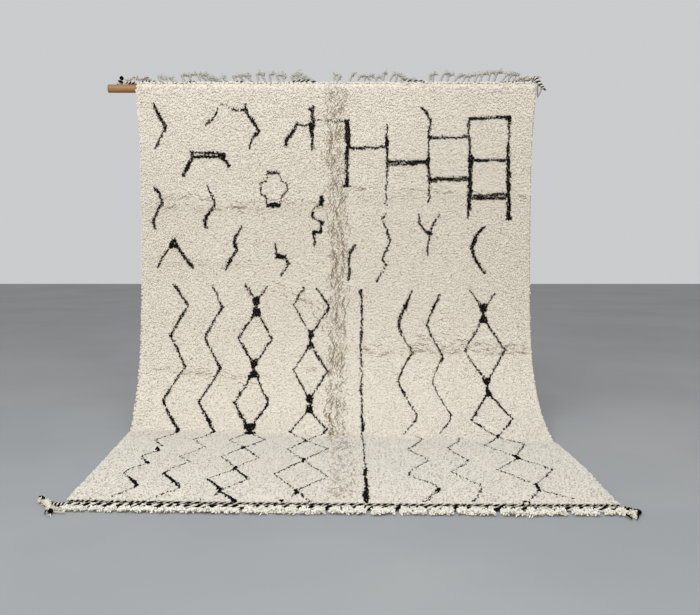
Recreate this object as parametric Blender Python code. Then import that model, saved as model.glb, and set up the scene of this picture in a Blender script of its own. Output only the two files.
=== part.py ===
"""A Beni Ourain rug of knotted wool, hung over a round pole, with its lower third swept out along the floor.

Metres, +Z up. X runs along the pole, and -Y is the side that the pile faces. The origin lies on the pole's
axis, halfway across the rug. A place on the rug is given by across, from 0 at its left edge to 1 at its right
edge, and along, the length of cloth from the pile's top edge down to that place.
"""
import math
from collections import namedtuple

import bmesh
import bpy
from mathutils import Vector

# The rug
RUG_WIDTH = 2.00
PILE_LENGTH = 2.90            # pile from its top edge to its front edge, along the cloth
PILE_THICK = 0.022            # ground weave and pile together
FLAT_THICK = 0.005            # flat-woven end strips
FLAT_END = 0.030              # flat-woven strip past the pile at the front
PILE_SLOPE = 0.010            # the pile's front face leans over this much cloth
SIDE_THICK = 0.013            # pile at the very side edges, where it rolls over
SIDE_ROLL = 0.012             # width of that rolled edge
TOP_FLARE = 0.018             # extra half width where the cloth spreads over the pole
TOP_FLARE_REACH = 0.22
FRONT_DRIFT = 0.046           # the front edge lies this far to the right of the top edge
DRIFT_FROM = 1.75             # along, where that drift starts
RIGHT_BOW = 0.013             # the right edge bows out by this much on the floor, then in at the corner
BOW_FROM = 1.90
BOW_LENGTH = 0.70

# The pole
POLE_RADIUS = 0.021
POLE_LEFT = -1.167
POLE_RIGHT = 0.985
POLE_BEVEL = 0.002
POLE_SIDES = 48

# How the rug hangs: the cloth leaves the pole downwards and runs forward by sweep * exp(-height / rise)
POLE_HEIGHT = 1.711           # pole axis above the floor
SWEEP = (0.333, 0.576)        # left edge, right edge
RISE = (0.31, 0.20)
FOOT_BEND = (0.07, 0.13)      # radius of the bend where the cloth meets the floor
PILE_TOP_ANGLE = math.radians(42)    # on the pole, 0 at its front and 90 degrees at its top
FLAT_TOP_ANGLE = math.radians(54)
CLOTH_TOP_ANGLE = math.radians(95)

# Twined cords and fringes
INNER_CORD = 0.006
OUTER_CORD = 0.009
INNER_CORD_ANGLE = math.radians(58)
OUTER_CORD_ANGLE = math.radians(106)
TASSELS = 40
TASSEL_LENGTH = 0.062
TASSEL_HEIGHT = 0.013
TASSEL_HALF_WIDTH = 0.0185
TASSEL_UNEVEN = 0.08           # share by which the lengths differ
TASSEL_LEAN = 0.004
# Half width and distance from the comb's bar at each point of one side, as shares of the tassel's own
TasselPoint = namedtuple("TasselPoint", "width out")
TASSEL_SIDE = (
    TasselPoint(0.32, 0.00),
    TasselPoint(0.49, 0.30),
    TasselPoint(1.00, 0.62),
    TasselPoint(0.85, 0.94),
    TasselPoint(0.30, 1.00),
)
COMB_BAR = 0.006
STRANDS = 48
STRAND_THICK = 0.011
STRAND_END_MARGIN = 0.015      # from the rug's corner to the first strand's own stretch
STRAND_RISE = (0.063, 0.009)   # height, and by how much it differs
STRAND_LEAN = (0.034, 0.014)   # sideways, and by how much it differs
STRAND_BACK = 0.012
LEFT_LEANING = (11, 4)         # one strand in eleven leans left, from the fifth on
LEFT_LEAN_SHARE = -0.6
STRAND_BAR_AT = Vector((0.0150, 0.0212))     # y and z of the middle of the bar behind the pole's top
# How far a strand has leant, gone back and risen at each of its steps, as shares of the whole
StrandStep = namedtuple("StrandStep", "lean back rise")
STRAND_STEPS = (
    StrandStep(0.25, 0.17, 0.50),
    StrandStep(0.70, 0.50, 0.88),
    StrandStep(1.30, 1.00, 1.00),
)

GAP = 0.0003
POLE_STEPS = (4, 2, 4)         # over the flat strip, the pile's sloping edge and the pile
HANG_STEPS = 44
HANG_CROWDING = 1.15           # above 1, the steps crowd towards the foot
FOOT_SEARCH_STEP = 0.0005
BEND_STEPS = 8
FLOOR_STEPS = 12
CLOTH_COLUMNS = 15
CORD_SIDES = 8

# Soft wrinkles of the hanging part, each from one end to the other: x and along at both ends, then its
# height towards the pile side and its half width
Wrinkle = namedtuple("Wrinkle", "x_from along_from x_to along_to height half_width")
WRINKLES = (
    Wrinkle(-1.00, 0.60, -0.05, 0.60, 0.0045, 0.045),
    Wrinkle(-0.20, 0.52, 1.00, 0.57, 0.0030, 0.050),
    Wrinkle(-0.45, 1.00, -0.05, 1.13, 0.0040, 0.050),
    Wrinkle(-1.00, 0.88, -0.45, 0.90, 0.0025, 0.045),
    Wrinkle(0.15, 1.35, 1.00, 1.36, 0.0055, 0.055),
    Wrinkle(-1.00, 1.47, -0.62, 1.46, 0.0040, 0.045),
)

# Slow waves of the hanging part, which fade out at the pole and above the foot
WAVE_HEIGHT = 0.004
WAVE_ACROSS = 4.1
WAVE_TILT = 1.3
WAVE_ALONG = 2.3
WAVE_START = 0.6
FLAT_AT_TOP = 0.08
TOP_FADE = 0.25
FLAT_AT_FOOT = 1.45
FOOT_FADE = 0.30

# The outer cords run on past the rug's corners: side steps out from the corner, forward to the pile side
CordEnd = namedtuple("CordEnd", "side forward")
FRONT_LEFT_END = CordEnd(0.050, -0.006)
FRONT_RIGHT_END = CordEnd(0.034, 0.034)
TOP_LEFT_END = CordEnd(0.048, 0.0)
TOP_RIGHT_END = CordEnd(0.0, 0.0)
STRAIGHT_PAST_CORNER = CordEnd(0.012, 0.0)

# Corner tails, as points of their middle line: side steps out from the cord's end, forward to the pile
# side, up from the cord's middle, and the radius there
TailPoint = namedtuple("TailPoint", "side forward up radius")
FRONT_LEFT_TAIL = (
    TailPoint(0.060, -0.034, 0.012, 0.0040),
    TailPoint(0.048, -0.027, 0.010, 0.0070),
    TailPoint(0.028, -0.014, 0.007, 0.0085),
    TailPoint(0.0100, 0.004, 0.007, 0.0115),
    TailPoint(0.002, 0.028, 0.004, 0.0085),
    TailPoint(-0.009, 0.054, 0.004, 0.0075),
    TailPoint(-0.016, 0.072, 0.007, 0.0110),
    TailPoint(-0.021, 0.084, 0.007, 0.0105),
    TailPoint(-0.023, 0.091, 0.006, 0.0050),
)
FRONT_RIGHT_TAIL = (
    TailPoint(0.028, -0.014, 0.0065, 0.0050),
    TailPoint(0.023, -0.008, 0.0065, 0.0105),
    TailPoint(0.0105, 0.003, 0.007, 0.0112),
    TailPoint(0.003, 0.018, 0.005, 0.0090),
    TailPoint(-0.002, 0.034, 0.005, 0.0090),
    TailPoint(-0.004, 0.044, 0.004, 0.0060),
)
TOP_LEFT_TAIL = (
    TailPoint(0.066, 0.011, 0.0015, 0.0040),
    TailPoint(0.052, 0.011, 0.0034, 0.0070),
    TailPoint(0.032, 0.008, 0.0042, 0.0075),
    TailPoint(0.012, 0.003, 0.0050, 0.0090),
    TailPoint(0.0095, -0.002, 0.0160, 0.0085),
    TailPoint(0.022, 0.000, 0.027, 0.0085),
    TailPoint(0.031, 0.001, 0.032, 0.0070),
    TailPoint(0.036, 0.001, 0.034, 0.0040),
)
TOP_RIGHT_TAIL = (
    TailPoint(0.0004, 0.000, 0.001, 0.0045),
    TailPoint(0.006, 0.000, 0.001, 0.0045),
    TailPoint(0.010, 0.004, 0.016, 0.0060),
    TailPoint(0.020, 0.008, 0.027, 0.0070),
    TailPoint(0.033, 0.012, 0.020, 0.0070),
    TailPoint(0.043, 0.015, 0.000, 0.0070),
    TailPoint(0.047, 0.017, -0.024, 0.0070),
    TailPoint(0.042, 0.018, -0.044, 0.0080),
    TailPoint(0.030, 0.018, -0.060, 0.0080),
    TailPoint(0.022, 0.018, -0.076, 0.0045),
)

# Name, linear colour, roughness
Finish = namedtuple("Finish", "name colour roughness")
CREAM_WOOL = Finish("cream_wool", (0.62, 0.55, 0.45), 0.95)
FRINGE_WOOL = Finish("fringe_wool", (0.66, 0.59, 0.47), 0.95)
DARK_WOOL = Finish("dark_and_cream_wool", (0.20, 0.19, 0.19), 0.92)
POLE_WOOD = Finish("pole_wood", (0.50, 0.29, 0.14), 0.55)


def clear_scene():
    """Removes what the scene holds."""
    for old in list(bpy.data.objects):
        bpy.data.objects.remove(old, do_unlink=True)


def material(finish):
    """A Principled material of that finish, made once."""
    found = bpy.data.materials.get(finish.name)
    if found:
        return found
    made = bpy.data.materials.new(finish.name)
    made.use_nodes = True
    shader = made.node_tree.nodes["Principled BSDF"]
    shader.inputs["Base Color"].default_value = (*finish.colour, 1.0)
    shader.inputs["Roughness"].default_value = finish.roughness
    shader.inputs["Metallic"].default_value = 0.0
    return made


def add_object(name, mesh_edit, finish, sharp_degrees=50):
    """Turns a finished bmesh into a named object, its faces outwards and its round sides smooth."""
    bmesh.ops.recalc_face_normals(mesh_edit, faces=mesh_edit.faces)
    mesh = bpy.data.meshes.new(name)
    mesh_edit.to_mesh(mesh)
    mesh_edit.free()
    mesh.shade_smooth()
    mesh.set_sharp_from_angle(angle=math.radians(sharp_degrees))
    mesh.materials.append(material(finish))
    made = bpy.data.objects.new(name, mesh)
    bpy.context.scene.collection.objects.link(made)
    return made


def mix(pair, share):
    """The value between a pair's two ends."""
    return pair[0] + (pair[1] - pair[0]) * share


def on_pole(angle, radius):
    """y and z of a point at that angle and distance from the pole's axis."""
    return Vector((-radius * math.cos(angle), radius * math.sin(angle)))


# --- the cloth's line from the pole to its front edge ---

def pole_angles():
    """Angles of the cloth's steps on the pole, from its top edge down to the pole's front."""
    ends = (CLOTH_TOP_ANGLE, FLAT_TOP_ANGLE, PILE_TOP_ANGLE, 0.0)
    found = [CLOTH_TOP_ANGLE]
    for high, low, steps in zip(ends, ends[1:], POLE_STEPS):
        found += [high + (low - high) * (step + 1) / steps for step in range(steps)]
    return found


def pole_back_radius():
    """Radius of the cloth's back on the pole, with room for its flat facets."""
    widest_step = max(abs(after - before) for before, after in zip(pole_angles(), pole_angles()[1:]))
    return (POLE_RADIUS + GAP) / math.cos(widest_step / 2)


def hang_point(across, height):
    """y and z of the cloth's back at a height above the floor, before its bend at the foot."""
    sweep, rise = mix(SWEEP, across), mix(RISE, across)
    forward = sweep * (math.exp(-height / rise) - math.exp(-POLE_HEIGHT / rise))
    return Vector((-pole_back_radius() - forward, height - POLE_HEIGHT))


def back_line(across):
    """y and z of the cloth's back from its top edge over the pole to its front edge, in fixed steps."""
    line = [on_pole(angle, pole_back_radius()) for angle in pole_angles()]
    reach = mix(FOOT_BEND, across) * math.tan(math.atan2(mix(RISE, across), mix(SWEEP, across)) / 2)
    foot = hang_point(across, 0.0)
    low = 0.0
    while (hang_point(across, low) - foot).length < reach:
        low += FOOT_SEARCH_STEP
    for step in range(1, HANG_STEPS + 1):
        left = 1 - step / HANG_STEPS
        line.append(hang_point(across, low + (POLE_HEIGHT - low) * left ** HANG_CROWDING))
    start = line[-1]
    for step in range(1, BEND_STEPS + 1):
        share = step / BEND_STEPS
        end = foot - Vector((reach, 0.0))
        line.append((1 - share) ** 2 * start + 2 * (1 - share) * share * foot + share ** 2 * end)
    return line


def lengths(line):
    """Length of cloth from the pile's top edge to each point; the flat-woven strip above counts below 0."""
    total, found = 0.0, [0.0]
    for before, after in zip(line, line[1:]):
        total += (after - before).length
        found.append(total)
    pile_start = pole_back_radius() * (CLOTH_TOP_ANGLE - PILE_TOP_ANGLE)
    return [value - pile_start for value in found]


def full_line(across):
    """The whole back line with its run along the floor, as (y and z, along) pairs."""
    line = back_line(across)
    done = lengths(line)
    last, reached = line[-1], done[-1]
    stops = [reached + (PILE_LENGTH - PILE_SLOPE - reached) * (step + 1) / FLOOR_STEPS
             for step in range(FLOOR_STEPS)]
    stops += [PILE_LENGTH, PILE_LENGTH + FLAT_END]
    floor = [(last - Vector((stop - reached, 0.0)), stop) for stop in stops]
    return list(zip(line, done)) + floor


def thickness(along, side_share):
    """Thickness of the cloth: full over the pile, thin at both flat-woven ends and rolled at the sides."""
    pile = SIDE_THICK + (PILE_THICK - SIDE_THICK) * side_share
    edge = pole_back_radius() * (FLAT_TOP_ANGLE - PILE_TOP_ANGLE)
    from_top = min(max((along + edge) / edge, 0.0), 1.0)
    from_front = min(max((PILE_LENGTH - along) / PILE_SLOPE, 0.0), 1.0)
    return FLAT_THICK + (pile - FLAT_THICK) * min(from_top, from_front)


def wrinkle_height(x, along):
    """How far the soft wrinkles and waves push the hanging cloth towards the pile side."""
    pushed = 0.0
    for fold in WRINKLES:
        run = Vector((fold.x_to - fold.x_from, fold.along_to - fold.along_from))
        here = Vector((x - fold.x_from, along - fold.along_from))
        share = min(max(here.dot(run) / run.length_squared, 0.0), 1.0)
        off = (here - run * share).length / fold.half_width
        pushed += fold.height * math.exp(-off * off)
    wave = math.sin(WAVE_ACROSS * x + WAVE_TILT * along) * math.sin(WAVE_ALONG * along + WAVE_START)
    fade_in = min(max((along - FLAT_AT_TOP) / TOP_FADE, 0.0), 1.0)
    fade_out = min(max((FLAT_AT_FOOT - along) / FOOT_FADE, 0.0), 1.0)
    return (pushed + WAVE_HEIGHT * (1 + wave)) * fade_in * fade_out


def column_x(across, along):
    """x of a place on the rug, with the spread on the pole and the drift of the front part."""
    x = (2 * across - 1) * (RUG_WIDTH / 2 + TOP_FLARE * math.exp(-(along / TOP_FLARE_REACH) ** 2))
    drift = min(max((along - DRIFT_FROM) / (PILE_LENGTH - DRIFT_FROM), 0.0), 1.0)
    bow = math.sin(math.pi * max(along - BOW_FROM, 0.0) / BOW_LENGTH)
    return x + FRONT_DRIFT * drift + RIGHT_BOW * bow * across


def columns():
    """Places across the rug, with a narrow column at each side for the rolled edge."""
    roll = SIDE_ROLL / RUG_WIDTH
    inner = [roll + (1 - 2 * roll) * step / (CLOTH_COLUMNS - 1) for step in range(CLOTH_COLUMNS)]
    return [0.0] + inner + [1.0]


def rows_of_points(across, side_share):
    """Back and front points of one column of the cloth."""
    line = full_line(across)
    back, front = [], []
    for index, (here, along) in enumerate(line):
        before = line[max(index - 1, 0)][0]
        after = line[min(index + 1, len(line) - 1)][0]
        run = (after - before).normalized()
        out = Vector((run.y, -run.x))
        if along < -1e-6:
            out = here.normalized()
        x = column_x(across, along)
        base = here + out * wrinkle_height(x, along)
        if here.y < -POLE_HEIGHT + 1e-6:
            out = Vector((0.0, 1.0))
        tip = base + out * thickness(along, side_share)
        back.append(Vector((x, base.x, base.y)))
        front.append(Vector((x, tip.x, tip.y)))
    return back, front


def build_rug():
    """The rug's cloth: pile part and flat-woven ends in one solid, in the shape in which it hangs."""
    edit = bmesh.new()
    rings = []
    places = columns()
    for number, across in enumerate(places):
        side_share = 0.0 if number in (0, len(places) - 1) else 1.0
        back, front = rows_of_points(across, side_share)
        rings.append([edit.verts.new(point) for point in back + front[::-1]])
    size = len(rings[0])
    for left, right in zip(rings, rings[1:]):
        for at in range(size):
            after = (at + 1) % size
            edit.faces.new((left[at], left[after], right[after], right[at]))
    half = size // 2
    for ring in (rings[0], rings[-1]):
        for at in range(half - 1):
            edit.faces.new((ring[at], ring[at + 1], ring[size - 2 - at], ring[size - 1 - at]))
    return add_object("rug", edit, CREAM_WOOL)


# --- the pole ---

def build_pole():
    """A plain round pole with its ends broken."""
    edit = bmesh.new()
    length = POLE_RIGHT - POLE_LEFT
    bmesh.ops.create_cone(edit, cap_ends=True, segments=POLE_SIDES, radius1=POLE_RADIUS,
                          radius2=POLE_RADIUS, depth=length)
    rims = [edge for edge in edit.edges if abs(edge.verts[0].co.z - edge.verts[1].co.z) < 1e-6]
    bmesh.ops.bevel(edit, geom=rims, offset=POLE_BEVEL, segments=2, profile=0.5, affect="EDGES")
    pole = add_object("pole", edit, POLE_WOOD)
    pole.rotation_euler = (0.0, math.radians(90), 0.0)
    pole.location = ((POLE_LEFT + POLE_RIGHT) / 2, 0.0, 0.0)
    return pole


# --- twined cords and corner tails ---

def tube(name, path, radii, finish):
    """A closed tube along a path of points, with a radius at each."""
    edit = bmesh.new()
    rings = []
    for index, (here, radius) in enumerate(zip(path, radii)):
        before, after = path[max(index - 1, 0)], path[min(index + 1, len(path) - 1)]
        run = (after - before).normalized()
        guide = Vector((0.0, 1.0, 0.0)) if abs(run.y) < 0.9 else Vector((0.0, 0.0, 1.0))
        first = run.cross(guide).normalized()
        second = run.cross(first)
        turns = [2 * math.pi * side / CORD_SIDES for side in range(CORD_SIDES)]
        rings.append([edit.verts.new(here + (first * math.cos(turn) + second * math.sin(turn)) * radius)
                      for turn in turns])
    for low, high in zip(rings, rings[1:]):
        for at in range(CORD_SIDES):
            after = (at + 1) % CORD_SIDES
            edit.faces.new((low[at], low[after], high[after], high[at]))
    edit.faces.new(rings[0])
    edit.faces.new(rings[-1])
    return add_object(name, edit, finish, sharp_degrees=75)


def front_edge(across, past, height):
    """A point past the pile's front edge, at a height above the floor."""
    line = full_line(across)
    here, along = line[-2]
    y = here.x - past
    return Vector((column_x(across, along), y, height - POLE_HEIGHT))


def front_path(past, height, inset=0.0):
    """Points from left to right along the front edge."""
    places = [step / (CLOTH_COLUMNS - 1) for step in range(CLOTH_COLUMNS)]
    path = [front_edge(across, past, height) for across in places]
    path[0].x += inset
    path[-1].x -= inset
    return path


def top_path(angle, radius, inset=0.0):
    """The two ends of a straight line along the top edge on the pole."""
    y, z = on_pole(angle, radius)
    half = RUG_WIDTH / 2 + TOP_FLARE - inset
    return [Vector((-half, y, z)), Vector((half, y, z))]


def past_corner(corner, cord_end, side):
    """Where an outer cord ends past its corner; side is -1 at the left and 1 at the right."""
    return corner + Vector((side * cord_end.side, -cord_end.forward, 0.0))


def build_cords():
    """Both twined rows at each end of the rug."""
    inner, outer = INNER_CORD / 2, OUTER_CORD / 2
    front_inner = front_path(inner + 2 * GAP, FLAT_THICK + GAP + inner, inset=inner * 2)
    front_outer = front_path(FLAT_END + GAP + outer, outer)
    left, right = front_outer[0], front_outer[-1]
    front_outer = ([past_corner(left, end, -1) for end in (FRONT_LEFT_END, STRAIGHT_PAST_CORNER)]
                   + front_outer
                   + [past_corner(right, end, 1) for end in (STRAIGHT_PAST_CORNER, FRONT_RIGHT_END)])
    top_inner = top_path(INNER_CORD_ANGLE, pole_back_radius() + FLAT_THICK + GAP + inner, inset=inner * 2)
    top_outer = top_path(OUTER_CORD_ANGLE, POLE_RADIUS + GAP + outer)
    top_outer[0] = past_corner(top_outer[0], TOP_LEFT_END, -1)
    for name, path, radius in (("cord_front_inner", front_inner, inner),
                               ("cord_front_outer", front_outer, outer),
                               ("cord_top_inner", top_inner, inner),
                               ("cord_top_outer", top_outer, outer)):
        tube(name, path, [radius] * len(path), DARK_WOOL)


def build_tail(name, points, corner, cord_end, side):
    """A knotted tail at the end of an outer cord; side is -1 at the left and 1 at the right."""
    start = past_corner(corner, cord_end, side)
    path = [start + Vector((side * point.side, -point.forward, point.up)) for point in points]
    tube(name, path, [point.radius for point in points], DARK_WOOL)


def build_tails():
    """The four tails in which the outer twined cords end."""
    outer = OUTER_CORD / 2
    front = front_path(FLAT_END + GAP + outer, outer)
    top = top_path(OUTER_CORD_ANGLE, POLE_RADIUS + GAP + outer)
    build_tail("tail_front_left", FRONT_LEFT_TAIL, front[0], FRONT_LEFT_END, -1)
    build_tail("tail_front_right", FRONT_RIGHT_TAIL, front[-1], FRONT_RIGHT_END, 1)
    build_tail("tail_top_left", TOP_LEFT_TAIL, top[0], TOP_LEFT_END, -1)
    build_tail("tail_top_right", TOP_RIGHT_TAIL, top[-1], TOP_RIGHT_END, 1)


# --- fringes ---

def tassel_outline(number):
    """Half a tassel from above, uneven from one to the next, as (half width, distance from the bar) pairs."""
    length = TASSEL_LENGTH * (1 + TASSEL_UNEVEN * math.sin(2.4 * number))
    wide = TASSEL_HALF_WIDTH * (1 + TASSEL_UNEVEN / 2 * math.sin(3.3 * number))
    return [(wide * point.width, length * point.out) for point in TASSEL_SIDE]


def build_front_fringe():
    """The knotted tassels of the front edge, as one comb that lies on the floor."""
    edit = bmesh.new()
    start = FLAT_END + GAP + OUTER_CORD + GAP
    back = [front_edge(step / TASSELS, start, 0.0) for step in range(TASSELS, -1, -1)]
    outline = [edit.verts.new(point) for point in back]
    outline.append(edit.verts.new(front_edge(0.0, start + COMB_BAR, 0.0)))
    for number in range(TASSELS):
        middle = front_edge((number + 0.5) / TASSELS, start + COMB_BAR, 0.0)
        lean = TASSEL_LEAN * math.sin(1.7 * number)
        half = tassel_outline(number)
        sides = [(-wide, out) for wide, out in half] + [(wide, out) for wide, out in half[::-1]]
        for wide, out in sides:
            shift = wide + lean * out / TASSEL_LENGTH
            outline.append(edit.verts.new(middle + Vector((shift, -out, 0.0))))
    outline.append(edit.verts.new(front_edge(1.0, start + COMB_BAR, 0.0)))
    base = edit.faces.new(outline)
    grown = bmesh.ops.extrude_face_region(edit, geom=[base])
    lifted = [item for item in grown["geom"] if isinstance(item, bmesh.types.BMVert)]
    bmesh.ops.translate(edit, verts=lifted, vec=(0.0, 0.0, TASSEL_HEIGHT))
    bmesh.ops.triangulate(edit, faces=[face for face in edit.faces if len(face.verts) > 4])
    return add_object("fringe_front", edit, FRINGE_WOOL)


def strand_curl(number):
    """Where a top strand's steps end, measured from its root; most strands lean right."""
    lean = STRAND_LEAN[0] + STRAND_LEAN[1] * math.sin(1.9 * number + 0.7)
    if number % LEFT_LEANING[0] == LEFT_LEANING[1]:
        lean *= LEFT_LEAN_SHARE
    rise = STRAND_RISE[0] + STRAND_RISE[1] * math.sin(0.8 * number)
    return [Vector((lean * step.lean, STRAND_BACK * step.back, rise * step.rise)) for step in STRAND_STEPS]


def build_top_fringe():
    """The loose strands of the top edge, as one comb that stands up from behind the pole's top."""
    edit = bmesh.new()
    half_bar = COMB_BAR / 2
    middle = Vector((0.0, STRAND_BAR_AT.x, STRAND_BAR_AT.y))
    pitch = (RUG_WIDTH - 2 * STRAND_END_MARGIN) / STRANDS
    roots = []
    for number in range(STRANDS):
        x = -RUG_WIDTH / 2 + STRAND_END_MARGIN + pitch * (number + 0.5)
        roots += [x - STRAND_THICK / 2, x + STRAND_THICK / 2]
    stations = [-RUG_WIDTH / 2] + roots + [RUG_WIDTH / 2]
    corners = ((-half_bar, -half_bar), (half_bar, -half_bar), (half_bar, half_bar), (-half_bar, half_bar))
    rings = [[edit.verts.new(middle + Vector((x, y, z))) for y, z in corners] for x in stations]
    tops = []
    for low, high in zip(rings, rings[1:]):
        for at in range(4):
            after = (at + 1) % 4
            face = edit.faces.new((low[at], low[after], high[after], high[at]))
            if at == 2:
                tops.append(face)
    edit.faces.new(rings[0])
    edit.faces.new(rings[-1])
    for number, face in enumerate(tops[1::2]):
        done = Vector((0.0, 0.0, 0.0))
        for target in strand_curl(number):
            grown = bmesh.ops.extrude_discrete_faces(edit, faces=[face])
            face = grown["faces"][0]
            bmesh.ops.translate(edit, verts=list(face.verts), vec=target - done)
            done = target
    return add_object("fringe_top", edit, FRINGE_WOOL)


def main():
    """Builds every piece."""
    clear_scene()
    build_pole()
    build_rug()
    build_cords()
    build_tails()
    build_front_fringe()
    build_top_fringe()


main()
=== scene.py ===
"""The looks of a Beni Ourain rug that hangs over its pole and runs out over the floor.

Thick cream wool pile with freehand black lines, the woven ground behind it, the twined rows, knotted tassels
and loose strands at both ends, the corner tails and the wood of the pole. A place on the rug is given by
across, from 0 at its left edge to 1 at its right edge, and along, the length of cloth from the pile's top
edge down to that place, in metres.
"""
import sys
import logging
import math
from dataclasses import dataclass, field
from enum import Enum
from itertools import product
from typing import NamedTuple, Sequence

import bpy
import numpy as np
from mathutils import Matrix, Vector


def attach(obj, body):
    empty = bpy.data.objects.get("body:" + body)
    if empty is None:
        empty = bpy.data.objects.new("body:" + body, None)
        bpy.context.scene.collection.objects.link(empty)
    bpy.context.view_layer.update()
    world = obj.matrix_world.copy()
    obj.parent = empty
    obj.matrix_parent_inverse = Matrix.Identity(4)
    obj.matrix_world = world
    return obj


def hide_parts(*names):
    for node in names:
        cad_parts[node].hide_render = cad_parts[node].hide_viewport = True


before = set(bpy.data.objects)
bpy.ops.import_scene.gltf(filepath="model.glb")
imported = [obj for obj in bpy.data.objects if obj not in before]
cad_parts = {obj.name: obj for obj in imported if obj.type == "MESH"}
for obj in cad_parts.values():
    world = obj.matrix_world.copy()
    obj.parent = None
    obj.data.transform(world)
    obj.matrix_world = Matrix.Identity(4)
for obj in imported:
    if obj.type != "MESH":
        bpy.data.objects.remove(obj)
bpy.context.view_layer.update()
LOG = logging.getLogger("rug")
BODY = "root"
GAP = 0.0003
FLUFF_SHARE = 0.72
TURN = 2 * math.pi

Array = np.ndarray
Chance = np.random.Generator
Material = bpy.types.Material
Object = bpy.types.Object
Socket = bpy.types.NodeSocket
Colour = tuple[float, float, float]
Point = tuple[float, float, float]
Stops = Sequence[Sequence[float]]


class Slot(Enum):
    """The record's material slots, named when each new piece is finished but not read by the script."""

    PILE = "pile_wool"
    FRINGE = "fringe_wool"
    TWINED = "twined_wool"


class Ply(Enum):
    """The colour of a yarn: 0 for cream wool and 1 for black wool."""

    CREAM = 0.0
    BLACK = 1.0


STRIPED = (Ply.BLACK, Ply.CREAM)


# --- finishes ---


class NodeTable:
    """A material's node tree, with short calls to add and link its nodes."""

    def __init__(self, name: str) -> None:
        """Starts a material with its shader.

        Args:
            name: the material's name.
        """
        self.material = bpy.data.materials.new(name)
        self.material.use_nodes = True
        self.tree = self.material.node_tree
        self.shader = self.tree.nodes["Principled BSDF"]

    def add(self, kind: str, settings: dict | None = None, **inputs: object) -> bpy.types.Node:
        """Adds a node.

        Args:
            kind: the node's type name without its "ShaderNode" start.
            settings: the node's own settings.
            inputs: values or output sockets for its inputs, by name with _ for a space, or i0, i1 by number.

        Returns:
            The node.
        """
        node = self.tree.nodes.new("ShaderNode" + kind)
        for key, value in (settings or {}).items():
            setattr(node, key, value)
        for key, value in inputs.items():
            if key[0] == "i" and key[1:].isdigit():
                socket = node.inputs[int(key[1:])]
            else:
                socket = node.inputs[key.replace("_", " ")]
            if isinstance(value, Socket):
                self.tree.links.new(value, socket)
            else:
                socket.default_value = value
        return node

    def value(self, name: str) -> Socket:
        """The output of a number stored on the piece's points."""
        return self.add("Attribute", {"attribute_name": name}).outputs["Fac"]

    def place(self) -> Socket:
        """The output of the object coordinates."""
        return self.add("TexCoord").outputs["Object"]

    def map(self, name: str) -> Socket:
        """The output of one of the piece's own UV maps."""
        return self.add("UVMap", {"uv_map": name}).outputs["UV"]

    def scaled(self, vector: Socket, scale: Sequence[float]) -> Socket:
        """A vector with each part multiplied by its own scale."""
        return self.add("Mapping", Vector=vector, Scale=tuple(scale)).outputs["Vector"]

    def noise(self, vector: Socket, scale: float, detail: float = 2.0,
              rough: float = 0.5) -> Socket:
        """Smooth random values over a vector.

        Args:
            vector: where the noise is read.
            scale: how fine it is.
            detail: number of finer layers on it.
            rough: strength of the finer layers.

        Returns:
            The value's output, about 0.5 in the middle.
        """
        return self.add("TexNoise", Vector=vector, Scale=scale, Detail=detail, Roughness=rough).outputs["Fac"]

    def math(self, operation: str, first: object, second: object = 0.0) -> Socket:
        """The result of a math operation on two numbers."""
        return self.add("Math", {"operation": operation}, i0=first, i1=second).outputs["Value"]

    def stretch(self, value: Socket, low: float, high: float, to_low: float = 0.0,
                to_high: float = 1.0) -> Socket:
        """Maps a number's range onto another one and keeps it inside.

        Args:
            value: the number.
            low: its value that becomes to_low.
            high: its value that becomes to_high.
            to_low: the new range's start.
            to_high: the new range's end.

        Returns:
            The mapped number's output.
        """
        node = self.add("MapRange", {"clamp": True}, Value=value)
        for key, number in (("From Min", low), ("From Max", high), ("To Min", to_low), ("To Max", to_high)):
            node.inputs[key].default_value = number
        return node.outputs["Result"]

    def mix(self, share: object, first: object, second: object) -> Socket:
        """Mixes two colours.

        Args:
            share: share of the second one.
            first: colour or output.
            second: colour or output.

        Returns:
            The mixed colour's output.
        """
        node = self.add("Mix", {"data_type": "RGBA", "blend_type": "MIX", "clamp_factor": True})
        for index, value in ((0, share), (6, first), (7, second)):
            if isinstance(value, Socket):
                self.tree.links.new(value, node.inputs[index])
            elif isinstance(value, tuple):
                node.inputs[index].default_value = (*value, 1.0)
            else:
                node.inputs[index].default_value = value
        return node.outputs[2]

    def ramp(self, value: Socket, stops: Sequence[tuple[float, tuple]]) -> Socket:
        """Colours along a number.

        Args:
            value: the number.
            stops: places from 0 to 1 with their colours.

        Returns:
            The colour's output.
        """
        node = self.add("ValToRGB", Fac=value)
        while len(node.color_ramp.elements) < len(stops):
            node.color_ramp.elements.new(0.5)
        for element, (place, colour) in zip(node.color_ramp.elements, stops):
            element.position, element.color = place, (*colour, 1.0)
        return node.outputs["Color"]

    def bump(self, height: Socket, strength: float, distance: float) -> None:
        """Adds relief to the shader, over any relief it has."""
        node = self.add("Bump", Height=height, Strength=strength, Distance=distance)
        before = self.shader.inputs["Normal"]
        if before.is_linked:
            self.tree.links.new(before.links[0].from_socket, node.inputs["Normal"])
        self.tree.links.new(node.outputs["Normal"], before)

    def dress(self, colour: Socket, roughness: object, sheen: float = 0.0,
              specular: float = 0.25) -> Material:
        """Ends the material.

        Args:
            colour: the base colour's output.
            roughness: number or output.
            sheen: how much soft fuzz the surface has.
            specular: how much it reflects.

        Returns:
            The material.
        """
        self.tree.links.new(colour, self.shader.inputs["Base Color"])
        if isinstance(roughness, Socket):
            self.tree.links.new(roughness, self.shader.inputs["Roughness"])
        else:
            self.shader.inputs["Roughness"].default_value = roughness
        self.shader.inputs["Sheen Weight"].default_value = sheen
        self.shader.inputs["Sheen Roughness"].default_value = 0.6
        self.shader.inputs["Specular IOR Level"].default_value = specular
        return self.material


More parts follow.
